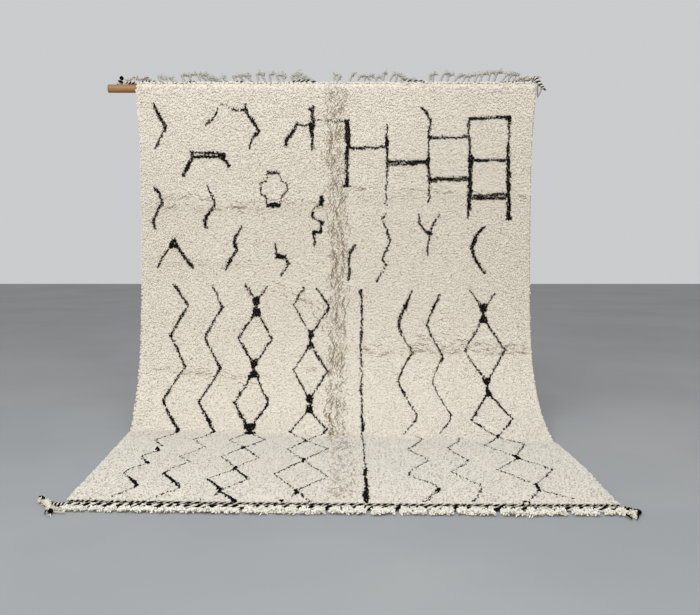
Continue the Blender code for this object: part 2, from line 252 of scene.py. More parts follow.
@dataclass(frozen=True)
class Wool:
    """Loose wool: each lock is painted darker towards its root as painted shade deep in the pile, and every
    lock has a tone of its own.
    """

    name: str
    root: Colour
    body: Colour
    tip: Colour
    shade: Colour
    stain: Colour
    stain_share: float = 0.25
    sheen: float = 0.15
    gloss: float = 0.15

    def material(self) -> Material:
        """The wool's node material.

        Returns:
            The material, which reads the points' tip and tone and the fibre map.
        """
        table = NodeTable(self.name)
        place, fibre = table.place(), table.map("fibre")
        ends = table.noise(place, 190.0, 2.0, 0.6)
        height = table.math("ADD", table.value("tip"), table.stretch(ends, 0.3, 0.7, -0.12, 0.12))
        # painted shade: the ramp darkens each lock towards its root, where it lies deep in the pile
        colour = table.ramp(height, ((0.0, self.root), (0.45, self.body), (1.0, self.tip)))
        patches = table.noise(place, 2.1, 3.0, 0.55)
        fine = table.noise(place, 23.0, 2.0, 0.5)
        stained = table.math("MULTIPLY", table.stretch(patches, 0.38, 0.68), table.stretch(fine, 0.2, 0.8))
        colour = table.mix(table.math("MULTIPLY", stained, self.stain_share * 2), colour, self.stain)
        # a negative tone darkens towards the shade colour: each lock's own tone, and for pile locks also
        # painted shade in pits, partings and at the crest
        darker = table.stretch(table.value("tone"), 0.0, -1.0)
        colour = table.mix(table.math("MULTIPLY", darker, 0.85), colour, self.shade)
        streaks = table.noise(table.scaled(fibre, (9.0, 1.3, 1.0)), 2.0, 3.0, 0.6)
        # painted shade: the root colour is mixed in along the fibre streaks, as shade between the fibres
        colour = table.mix(table.stretch(streaks, 0.35, 0.7, 0.0, 0.12), colour, self.root)
        table.bump(streaks, 0.35, 0.0009)
        table.bump(table.noise(place, 900.0, 2.0, 0.6), 0.2, 0.0004)
        rough = table.stretch(streaks, 0.2, 0.8, 0.88, 1.0)
        return table.dress(colour, rough, self.sheen, self.gloss)


@dataclass(frozen=True)
class TwistedYarn:
    """Spun yarn, with fibres that run round it in a slant. The points' dark value picks cream or black."""

    name: str
    cream: Colour = (0.78, 0.72, 0.6)
    cream_groove_shade_and_dark: Colour = (0.46, 0.38, 0.28)
    black: Colour = (0.01, 0.009, 0.009)
    black_groove_shade: Colour = (0.004, 0.0035, 0.0035)
    turns: float = 130.0
    sheen: float = 0.15
    gloss: float = 0.15

    def material(self) -> Material:
        """The yarn's node material.

        Returns:
            The material, which reads the points' dark and tone and the fibre map.
        """
        table = NodeTable(self.name)
        place, fibre = table.place(), table.map("fibre")
        slant = table.scaled(fibre, (1.0, self.turns, 1.0))
        twist = table.add("TexWave", {"wave_type": "BANDS", "bands_direction": "DIAGONAL"}, Vector=slant,
                          Scale=0.9, Distortion=3.0, Detail=2.0, Detail_Scale=1.6).outputs["Fac"]
        fluff = table.noise(place, 420.0, 3.0, 0.65)
        # painted shade: the ramps darken the yarn in the grooves of its twist and between its fluff; the
        # darker cream also serves the random blotches and darker tones
        depth = table.math("MULTIPLY", table.stretch(twist, 0.0, 1.0, 0.45, 1.0),
                           table.stretch(fluff, 0.3, 0.7, 0.6, 1.0))
        cream = table.ramp(depth, ((0.15, self.cream_groove_shade_and_dark), (0.75, self.cream)))
        black = table.ramp(depth, ((0.15, self.black_groove_shade), (0.75, self.black)))
        blotch = table.stretch(table.noise(place, 38.0, 2.0, 0.5), 0.35, 0.7, 0.0, 0.35)
        cream = table.mix(blotch, cream, self.cream_groove_shade_and_dark)
        cream = table.mix(table.stretch(table.value("tone"), 0.1, -1.0, 0.0, 0.9), cream, self.cream_groove_shade_and_dark)
        colour = table.mix(table.value("dark"), cream, black)
        table.bump(twist, 0.55, 0.0009)
        table.bump(fluff, 0.4, 0.0006)
        return table.dress(colour, table.stretch(fluff, 0.3, 0.7, 0.85, 1.0), self.sheen, self.gloss)


@dataclass(frozen=True)
class WovenGround:
    """The plain weave that holds the knots: a row of knot backs, then a few shots of weft, over and over."""

    name: str
    knot: Colour = (0.82, 0.76, 0.64)
    weft: Colour = (0.74, 0.67, 0.54)
    hollow_shade: Colour = (0.36, 0.29, 0.2)
    stain: Colour = (0.6, 0.49, 0.33)
    row_pitch: float = 0.0102
    knot_pitch: float = 0.0051

    def material(self) -> Material:
        """The ground weave's node material.

        Returns:
            The material, which reads the cloth map in metres.
        """
        table = NodeTable(self.name)
        cloth, place = table.map("cloth"), table.place()
        wander = table.noise(place, 9.0, 2.0, 0.5)
        split = table.add("SeparateXYZ", Vector=cloth)
        along = table.math("ADD", split.outputs["Y"], table.stretch(wander, 0.0, 1.0, -0.003, 0.003))
        across = table.math("ADD", split.outputs["X"], table.stretch(wander, 0.0, 1.0, -0.002, 0.002))
        rows = table.math("SINE", table.math("MULTIPLY", along, TURN / self.row_pitch))
        knots = table.math("SINE", table.math("MULTIPLY", across, TURN / self.knot_pitch))
        shots = table.math("SINE", table.math("MULTIPLY", along, 6 * math.pi / self.row_pitch))
        in_row = table.stretch(rows, -0.25, 0.35)
        bead = table.math("MULTIPLY", in_row, table.stretch(knots, -0.9, 0.7, 0.25, 1.0))
        flat = table.math("MULTIPLY", table.math("SUBTRACT", 1.0, in_row),
                          table.stretch(shots, -1.0, 1.0, 0.1, 0.45))
        height = table.math("ADD", bead, flat)
        spun = table.noise(table.scaled(cloth, (260.0, 900.0, 1.0)), 1.0, 3.0, 0.6)
        colour = table.mix(in_row, self.weft, self.knot)
        # painted shade: darker in the hollows between the knot backs and the wefts, and along the spun
        # grooves
        colour = table.mix(table.stretch(height, 0.45, 0.05, 0.0, 0.85), colour, self.hollow_shade)
        colour = table.mix(table.stretch(spun, 0.35, 0.75, 0.0, 0.35), colour, self.hollow_shade)
        patch = table.noise(place, 3.2, 3.0, 0.6)
        colour = table.mix(table.stretch(patch, 0.4, 0.75, 0.0, 0.3), colour, self.stain)
        table.bump(height, 0.7, 0.0022)
        table.bump(spun, 0.35, 0.0006)
        return table.dress(colour, table.stretch(spun, 0.2, 0.8, 0.88, 1.0), 0.1, 0.15)


@dataclass(frozen=True)
class SandedWood:
    """Light-brown wood with its grain along the pole and growth rings on the ends."""

    name: str
    light: Colour = (0.44, 0.245, 0.09)
    middle: Colour = (0.36, 0.18, 0.056)
    dark: Colour = (0.19, 0.085, 0.03)
    worn_end: float = 0.012

    def material(self) -> Material:
        """The wood's node material.

        Returns:
            The material, which reads the object coordinates.
        """
        table = NodeTable(self.name)
        place = table.place()
        long = table.scaled(place, (1.0, 14.0, 14.0))
        sway = table.noise(table.scaled(place, (1.6, 9.0, 9.0)), 2.0, 3.0, 0.5)
        rings = table.add("TexWave", {"wave_type": "RINGS", "rings_direction": "X"},
                          Vector=table.add("Mapping", Vector=place, Location=(0.0, 0.031, 0.018),
                                           Scale=(0.5, 26.0, 26.0)).outputs["Vector"],
                          Scale=1.4, Distortion=2.6, Detail=3.0, Detail_Scale=1.1,
                          Detail_Roughness=0.55).outputs["Fac"]
        fibre = table.noise(table.scaled(long, (5.0, 22.0, 22.0)), 1.6, 4.0, 0.65)
        pores = table.noise(table.scaled(place, (36.0, 700.0, 700.0)), 1.0, 2.0, 0.7)
        colour = table.ramp(rings, ((0.05, self.light), (0.55, self.middle), (0.95, self.dark)))
        colour = table.mix(table.stretch(sway, 0.35, 0.7, 0.0, 0.5), colour, self.light)
        colour = table.mix(table.stretch(fibre, 0.45, 0.75, 0.0, 0.5), colour, self.dark)
        colour = table.mix(table.stretch(pores, 0.6, 0.75, 0.0, 0.6), colour, self.dark)
        middle, half = (POLE_LEFT + POLE_RIGHT) / 2, (POLE_RIGHT - POLE_LEFT) / 2
        off = table.math("SUBTRACT", table.add("SeparateXYZ", Vector=place).outputs["X"], middle)
        worn = table.stretch(table.math("ABSOLUTE", off), half - self.worn_end, half, 0.0, 0.55)
        colour = table.mix(worn, colour, self.dark)
        table.bump(fibre, 0.25, 0.0005)
        table.bump(pores, 0.3, 0.0003)
        return table.dress(colour, table.stretch(fibre, 0.3, 0.7, 0.42, 0.6), 0.0, 0.4)


@dataclass(frozen=True)
class PaleFloor:
    """A plain pale floor with a slight cloudiness."""

    name: str
    colour: Colour = (0.3, 0.305, 0.31)
    cloud: Colour = (0.335, 0.335, 0.335)

    def material(self) -> Material:
        """The floor's node material."""
        table = NodeTable(self.name)
        clouds = table.noise(table.place(), 0.9, 3.0, 0.5)
        colour = table.mix(table.stretch(clouds, 0.35, 0.65), self.colour, self.cloud)
        return table.dress(colour, 0.75, 0.0, 0.3)


# --- meshes from arrays ---


class JoinedMesh:
    """Many small closed shapes, gathered as arrays and joined into one piece."""

    def __init__(self, name: str) -> None:
        """Starts an empty piece.

        Args:
            name: the piece's name.
        """
        self.name = name
        self.points: list[Array] = []
        self.faces: list[Array] = []
        self.fibre: list[Array] = []
        self.bake: list[Array] = []
        self.facing: list[Array] = []
        self.values: dict[str, list[Array]] = {}
        self.count = 0

    def add(self, points: Array, faces: Sequence[Array], fibre: Array,
            bake: Array | None = None, facing: Array | None = None, **values: object) -> None:
        """Adds one shape or an array of like shapes.

        Args:
            points: points, (n, 3).
            faces: arrays of corner numbers, one row for each face.
            fibre: the fibre map at each point, (n, 2).
            bake: the flat map at each point, or None for the fibre map's own.
            facing: the way that the fluffy surface faces at each point, or None for a hard shape.
            values: a number, or an array of them, for each named value of the points.
        """
        self.points.append(points)
        self.faces += [np.asarray(face) + self.count for face in faces]
        self.fibre.append(fibre)
        self.bake.append(fibre if bake is None else bake)
        self.facing.append(np.zeros(points.shape) if facing is None else facing)
        for key, value in values.items():
            whole = np.broadcast_to(np.asarray(value, dtype=float), (len(points),))
            self.values.setdefault(key, []).append(whole)
        self.count += len(points)

    def finish(self, material: Material, slot: Slot, *stands_for: str) -> Object:
        """Joins all into an object that rides on the rug's body.

        Args:
            material: the piece's material.
            slot: not used.
            stands_for: CAD nodes that it replaces.

        Returns:
            The piece.
        """
        mesh = bpy.data.meshes.new(self.name)
        points = np.concatenate(self.points)
        mesh.vertices.add(len(points))
        mesh.vertices.foreach_set("co", points.astype(np.float32).ravel())
        corners = np.concatenate([face.ravel() for face in self.faces])
        sizes = np.concatenate([np.full(len(face), face.shape[1]) for face in self.faces])
        starts = np.concatenate([[0], np.cumsum(sizes)[:-1]])
        mesh.loops.add(len(corners))
        mesh.loops.foreach_set("vertex_index", corners.astype(np.int32))
        mesh.polygons.add(len(sizes))
        mesh.polygons.foreach_set("loop_start", starts.astype(np.int32))
        mesh.polygons.foreach_set("use_smooth", np.full(len(sizes), True))
        for name, rows in (("OFBake", self.bake), ("fibre", self.fibre)):
            layer = mesh.uv_layers.new(name=name)
            layer.uv.foreach_set("vector", np.concatenate(rows)[corners].astype(np.float32).ravel())
        for name, rows in self.values.items():
            store = mesh.attributes.new(name, "FLOAT", "POINT")
            store.data.foreach_set("value", np.concatenate(rows).astype(np.float32))
        mesh.update(calc_edges=True)
        mesh.validate()
        facing = np.concatenate(self.facing)
        if facing.any():
            own = np.empty(len(points) * 3, dtype=np.float32)
            mesh.vertex_normals.foreach_get("vector", own)
            soft = unit(own.reshape(-1, 3) * (1 - FLUFF_SHARE) + facing * FLUFF_SHARE)
            mesh.normals_split_custom_set_from_vertices(soft)
        mesh.materials.append(material)
        piece = bpy.data.objects.new(self.name, mesh)
        bpy.context.scene.collection.objects.link(piece)
        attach(piece, BODY)
        if stands_for:
            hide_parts(*stands_for)
        LOG.info("%s: %d triangles", self.name, int((sizes - 2).sum()))
        return piece


def unit(vectors: Array) -> Array:
    """Vectors made one long."""
    return vectors / np.maximum(np.linalg.norm(vectors, axis=-1, keepdims=True), 1e-12)


def lengths_along(path: Array) -> Array:
    """The length of a path up to each of its points."""
    return np.concatenate([[0.0], np.cumsum(np.linalg.norm(np.diff(path, axis=0), axis=1))])


def wander(at: Array, length: float, step: float, rng: Chance) -> Array:
    """Smooth chance from -1 to 1 at places along a length, drawn anew at every step."""
    grid = np.arange(0, length + step, step)
    return np.interp(at, grid, rng.uniform(-1, 1, len(grid)))


def smooth_path(turns: Stops, steps: int) -> Array:
    """A smooth line through a few points.

    Args:
        turns: the points that it passes, with any further numbers such as a radius.
        steps: number of points in the result.

    Returns:
        The line's points, (steps, same number of columns).
    """
    turns = np.asarray(turns, dtype=float)
    padded = np.vstack([2 * turns[0] - turns[1], turns, 2 * turns[-1] - turns[-2]])
    where = np.linspace(0, len(turns) - 1, steps)
    index = np.minimum(where.astype(int), len(turns) - 2)
    share = (where - index)[:, None]
    before, start, end, after = (padded[index + step] for step in range(4))
    return 0.5 * (2 * start + (end - before) * share + (2 * before - 5 * start + 4 * end - after) * share ** 2
                  + (3 * start - before - 3 * end + after) * share ** 3)


def turning_axes(path: Array) -> tuple[Array, Array, Array]:
    """Directions along a path and two across it that turn as little as they can.

    Args:
        path: its points, (n, 3).

    Returns:
        Arrays of the direction along it and the two across it.
    """
    along = unit(np.gradient(path, axis=0))
    start = np.array([0.0, 0.0, 1.0]) if abs(along[0, 2]) < 0.9 else np.array([0.0, 1.0, 0.0])
    first = np.zeros_like(path)
    last = start
    for index, direction in enumerate(along):
        last = last - direction * last.dot(direction)
        last = last / max(np.linalg.norm(last), 1e-9)
        first[index] = last
    return along, first, np.cross(along, first)


def tube_arrays(path: Array, radii: Array, sides: int,
                start_turn: float = 0.0) -> tuple[Array, list[Array], Array]:
    """A closed tube along a path, with a pointed cap at each end.

    Args:
        path: the points of its middle line, (n, 3).
        radii: its radius at each point.
        sides: number of its sides.
        start_turn: angle of its first side.

    Returns:
        Its points, its face arrays, and its fibre map with the place round it and the length along it.
    """
    along, first, second = turning_axes(path)
    turns = start_turn + np.arange(sides) * TURN / sides
    rings = path[:, None] + radii[:, None, None] * (first[:, None] * np.cos(turns)[None, :, None]
                                                    + second[:, None] * np.sin(turns)[None, :, None])
    count = len(path)
    points = np.vstack([rings.reshape(-1, 3), path[0] - along[0] * radii[0] * 0.5,
                        path[-1] + along[-1] * radii[-1] * 0.5])
    ring, side = np.meshgrid(np.arange(count - 1), np.arange(sides), indexing="ij")
    after = (side + 1) % sides
    quads = np.stack([ring * sides + side, ring * sides + after, (ring + 1) * sides + after,
                      (ring + 1) * sides + side], -1).reshape(-1, 4)
    edge = np.arange(sides)
    low = np.stack([(edge + 1) % sides, edge, np.full(sides, count * sides)], -1)
    top = (count - 1) * sides
    high = np.stack([top + edge, top + (edge + 1) % sides, np.full(sides, count * sides + 1)], -1)
    lengths = lengths_along(path)
    round_it = np.abs(2 * (edge / sides) - 1)
    fibre = np.stack([np.tile(round_it, count), np.repeat(lengths, sides)], -1)
    fibre = np.vstack([fibre, [0.5, 0.0], [0.5, lengths[-1]]])
    return points, [quads, low, high], fibre


LOCK_ROUND = (0.5, 0.0, 0.5, 1.0, 0.2, 0.8)
BAKE_CELL = 0.0036


def lock_arrays(root: Array, middle: Array, tip: Array, width: Array,
                rng: Chance) -> tuple[Array, list[Array], Array]:
    """Closed three-sided locks of wool, each thin at its root, full in its middle and blunt at its end.

    Args:
        root: where each lock leaves the ground, (n, 3).
        middle: where it is thickest.
        tip: where it ends.
        width: half its thickness.
        rng: the source of chance.

    Returns:
        Points (n, 6, 3), face arrays, and the height in the lock of its 6 points.
    """
    count = len(root)
    along = unit(tip - root)
    first = unit(np.cross(along, rng.normal(size=(count, 3))))
    second = np.cross(along, first)
    turns = np.arange(3) * TURN / 3
    ring = first[:, None] * np.cos(turns)[None, :, None] + second[:, None] * np.sin(turns)[None, :, None]
    points = np.empty((count, 6, 3))
    points[:, 0] = root
    points[:, 1:4] = middle[:, None] + ring * width[:, None, None]
    blunt = first * (width * 0.55)[:, None]
    points[:, 4], points[:, 5] = tip + blunt, tip - blunt
    base = (np.arange(count) * 6)[:, None]
    faces = [base + np.array([face]) for face in ((1, 0, 2), (2, 0, 3), (3, 0, 1), (2, 3, 5))]
    faces += [base + np.array([face]) for face in ((1, 2, 5, 4), (3, 1, 4, 5))]
    return points, faces, np.array([0.0, 0.62, 0.62, 0.62, 1.0, 1.0])


class SmoothChance:
    """Smooth random values over the rug."""

    def __init__(self, seed: int, cell_x: float, cell_along: float | None = None) -> None:
        """Fills a grid with seeded chance.

        Args:
            seed: the seed.
            cell_x: size of its spots across the rug, in metres.
            cell_along: size of its spots along the rug, or None for the same.
        """
        self.grid = np.random.default_rng(seed).uniform(-1, 1, (256, 256))
        self.cells = (cell_x, cell_along or cell_x)

    def at(self, x: Array, along: Array) -> Array:
        """Values from -1 to 1 at those places."""
        first, second = np.asarray(x) / self.cells[0] + 512.0, np.asarray(along) / self.cells[1] + 512.0
        low, left = np.floor(first).astype(int), np.floor(second).astype(int)
        share, over = first - low, second - left
        share, over = share * share * (3 - 2 * share), over * over * (3 - 2 * over)
        corners = [[self.grid[(low + a) % 256, (left + b) % 256] for b in (0, 1)] for a in (0, 1)]
        near = corners[0][0] + (corners[0][1] - corners[0][0]) * over
        far = corners[1][0] + (corners[1][1] - corners[1][0]) * over
        return near + (far - near) * share


# --- the shape in which the rug hangs ---

RUG_WIDTH = 2.0
PILE_LENGTH = 2.9
PILE_THICK = 0.022
FLAT_THICK = 0.005
FLAT_END = 0.03
POLE_RADIUS = 0.021
POLE_LEFT = -1.167
POLE_RIGHT = 0.985
POLE_HEIGHT = 1.711
FLOOR = -POLE_HEIGHT
FLOOR_PART = 1.86


class Wrinkle(NamedTuple):
    """A soft ridge: x and along at both ends, its height and its half width."""

    x_from: float
    along_from: float
    x_to: float
    along_to: float
    height: float
    half_width: float


@dataclass(frozen=True)
class Drape:
    """The cloth's back from its top edge on the pole down to its front edge on the floor."""

    sweep: tuple[float, float] = (0.333, 0.576)
    rise: tuple[float, float] = (0.31, 0.2)
    foot_bend: tuple[float, float] = (0.07, 0.13)
    pile_top_angle: float = math.radians(42)
    cloth_top_angle: float = math.radians(95)
    back_radius: float = 0.0214
    top_flare: float = 0.018
    top_flare_reach: float = 0.22
    front_drift: float = 0.046
    drift_from: float = 1.75
    right_bow: float = 0.013
    bow_from: float = 1.9
    bow_length: float = 0.7
    step: float = 0.005
    wave_height: float = 0.004
    fade_in: tuple[float, float] = (0.08, 0.25)
    fade_out: tuple[float, float] = (1.45, 0.3)
    wrinkles: tuple[Wrinkle, ...] = (
        Wrinkle(-1.0, 0.6, -0.05, 0.6, 0.0045, 0.045),
        Wrinkle(-0.2, 0.52, 1.0, 0.57, 0.003, 0.05),
        Wrinkle(-0.45, 1.0, -0.05, 1.13, 0.004, 0.05),
        Wrinkle(-1.0, 0.88, -0.45, 0.9, 0.0025, 0.045),
        Wrinkle(0.15, 1.35, 1.0, 1.36, 0.0055, 0.055),
        Wrinkle(-1.0, 1.47, -0.62, 1.46, 0.004, 0.045),
    )

    @property
    def top(self) -> float:
        """The cloth's top edge, as a length of cloth above the pile."""
        return -self.back_radius * (self.cloth_top_angle - self.pile_top_angle)

    def line(self, across: float) -> tuple[Array, Array]:
        """One column of the cloth's back.

        Args:
            across: the column's place.

        Returns:
            Lengths of cloth at its points, and their y and z.
        """
        sweep, rise, bend = (pair[0] + (pair[1] - pair[0]) * across
                             for pair in (self.sweep, self.rise, self.foot_bend))
        angle = np.linspace(self.cloth_top_angle, 0.0, 40)
        on_pole = np.stack([-self.back_radius * np.cos(angle), self.back_radius * np.sin(angle)], -1)
        height = np.linspace(POLE_HEIGHT, 0.0, 1200)
        forward = sweep * (np.exp(-height / rise) - np.exp(-POLE_HEIGHT / rise))
        hang = np.stack([-self.back_radius - forward, height - POLE_HEIGHT], -1)
        foot = hang[-1]
        reach = bend * math.tan(math.atan2(rise, sweep) / 2)
        hang = hang[np.linalg.norm(hang - foot, axis=1) > reach]
        share = np.linspace(0, 1, 24)[1:, None]
        end = foot - np.array([reach, 0.0])
        curve = (1 - share) ** 2 * hang[-1] + 2 * (1 - share) * share * foot + share ** 2 * end
        line = np.vstack([on_pole, hang[1:], curve])
        done = lengths_along(line) + self.top
        far = PILE_LENGTH + 0.2
        line = np.vstack([line, line[-1] - np.array([far - done[-1], 0.0])])
        return np.append(done, far), line

    def x(self, across: Array, along: Array) -> Array:
        """x of places on the rug, with the spread on the pole and the drift of the front part."""
        flare = self.top_flare * np.exp(-(along / self.top_flare_reach) ** 2)
        side = (2 * across - 1) * (RUG_WIDTH / 2 + flare)
        drift = np.clip((along - self.drift_from) / (PILE_LENGTH - self.drift_from), 0.0, 1.0)
        bow = np.sin(math.pi * np.clip(along - self.bow_from, 0.0, None) / self.bow_length)
        return side + self.front_drift * drift + self.right_bow * bow * across

    def pushed(self, x: Array, along: Array) -> Array:
        """How far the soft wrinkles and waves push the hanging cloth towards the pile side."""
        total = np.zeros(np.broadcast(x, along).shape)
        for fold in self.wrinkles:
            run_x, run_s = fold.x_to - fold.x_from, fold.along_to - fold.along_from
            share = (x - fold.x_from) * run_x + (along - fold.along_from) * run_s
            share = np.clip(share / (run_x ** 2 + run_s ** 2), 0.0, 1.0)
            off = np.hypot(x - fold.x_from - run_x * share, along - fold.along_from - run_s * share)
            total += fold.height * np.exp(-(off / fold.half_width) ** 2)
        wave = np.sin(4.1 * x + 1.3 * along) * np.sin(2.3 * along + 0.6)
        fade = np.clip((along - self.fade_in[0]) / self.fade_in[1], 0.0, 1.0)
        fade = fade * np.clip((self.fade_out[0] - along) / self.fade_out[1], 0.0, 1.0)
        return (total + self.wave_height * (1 + wave)) * fade


class HungCloth:
    """The draped cloth as a grid, from which any place on it is read."""

    def __init__(self, drape: Drape) -> None:
        """Lays out the grid.

        Args:
            drape: the shape in which the rug hangs.
        """
        self.drape = drape
        self.across = np.linspace(0.0, 1.0, 65)
        self.along = np.arange(drape.top - 0.005, PILE_LENGTH + 0.12, drape.step)
        place = np.empty((len(self.across), len(self.along), 3))
        for index, across in enumerate(self.across):
            done, line = drape.line(across)
            place[index, :, 0] = drape.x(across, self.along)
            place[index, :, 1] = np.interp(self.along, done, line[:, 0])
            place[index, :, 2] = np.interp(self.along, done, line[:, 1])
        down = unit(np.gradient(place, axis=1) * np.array([0.0, 1.0, 1.0]))
        out = np.stack([np.zeros(down.shape[:2]), down[..., 2], -down[..., 1]], -1)
        place += out * drape.pushed(place[..., 0], self.along[None])[..., None]
        side = unit(np.gradient(place, axis=0))
        down = unit(np.gradient(place, axis=1))
        out = unit(np.cross(down, side))
        on_floor = place[..., 2] < FLOOR + 1e-5
        out[on_floor] = (0.0, 0.0, 1.0)
        self.place, self.side, self.out = place, side, out
        self.down = unit(down - side * (down * side).sum(-1, keepdims=True))

    def read(self, field_grid: Array, across: Array, along: Array) -> Array:
        """Values of one of the grid's fields.

        Args:
            field_grid: place, side, down or out.
            across: places across the rug.
            along: places along it.

        Returns:
            The field at those places, (n, 3).
        """
        first = np.clip(np.asarray(across), 0.0, 1.0) * (len(self.across) - 1)
        second = np.clip((np.asarray(along) - self.along[0]) / self.drape.step, 0, len(self.along) - 1.001)
        low = np.minimum(first.astype(int), len(self.across) - 2)
        left = second.astype(int)
        share, over = (first - low)[..., None], (second - left)[..., None]
        near = field_grid[low, left] * (1 - over) + field_grid[low, left + 1] * over
        far = field_grid[low + 1, left] * (1 - over) + field_grid[low + 1, left + 1] * over
        return near * (1 - share) + far * share

    def axes(self, across: Array, along: Array) -> tuple[Array, Array, Array, Array]:
        """Places on the cloth's back, and there the directions across it, along it and out of it."""
        place, side, down, out = (self.read(grid, across, along)
                                  for grid in (self.place, self.side, self.down, self.out))
        return place, side, down, unit(out)

    def front_edge(self, across: Array, past: float, height: float) -> Array:
        """Points past the pile's front edge, at a height above the floor."""
        across = np.asarray(across, dtype=float)
        found = self.read(self.place, across, np.full(across.shape, PILE_LENGTH))
        found[..., 1] -= past
        found[..., 2] = FLOOR + height
        return found

    def on_pole(self, angle: float, radius: float) -> tuple[float, float]:
        """y and z of a point at that angle and distance from the pole's axis."""
        return -radius * math.cos(angle), radius * math.sin(angle)


# --- the freehand drawing in black wool ---


class Line(NamedTuple):
    """A freehand line through its turns, and how full of black knots it is."""

    turns: tuple[tuple[float, float, float], ...]
    full: float = 1.0


class Crossing(NamedTuple):
    """Where the two strands of a diamond column meet, in cm: middle, top, bottom, width and waist."""

    x: float
    top: float
    bottom: float
    width: float
    waist: float


@dataclass(frozen=True)
class DiamondColumn:
    """A column of diamonds drawn as two strands that cross.

    The strands' turns are given from top to bottom, one at each side between two crossings, and one at each
    side above the first and below the last crossing where the column starts or ends open.
    """

    crossings: tuple[Crossing, ...]
    left: tuple[tuple[float, float], ...]
    right: tuple[tuple[float, float], ...]
    width_left: float
    width_right: float
    full_left: float = 1.0
    full_right: float = 1.0

    def lines(self) -> list[Line]:
        """The column as lines.

        Returns:
            Both strands and the solid crossings.
        """
        found = []
        for turns, width, full, side in ((self.left, self.width_left, self.full_left, -1),
                                         (self.right, self.width_right, self.full_right, 1)):
            for index, (x, s) in enumerate(turns):
                if index:
                    cross = self.crossings[index - 1]
                    at = cross.x + side * cross.width * 0.3
                    found.append(Line(((at, cross.bottom - 0.4, width), (x, s, width)), full))
                if index < len(self.crossings):
                    cross = self.crossings[index]
                    at = cross.x + side * cross.width * 0.3
                    found.append(Line(((x, s, width), (at, cross.top + 0.4, width)), full))
        for cross in self.crossings:
            x, wide, waist = cross.x, cross.width, (cross.top + cross.bottom) / 2
            neck, third = wide * 0.85, (cross.bottom - cross.top) * 0.28
            found.append(Line(((x, cross.top, wide), (x, cross.top + third, neck), (x, waist, cross.waist),
                               (x, cross.bottom - third, neck), (x, cross.bottom, wide))))
        return found


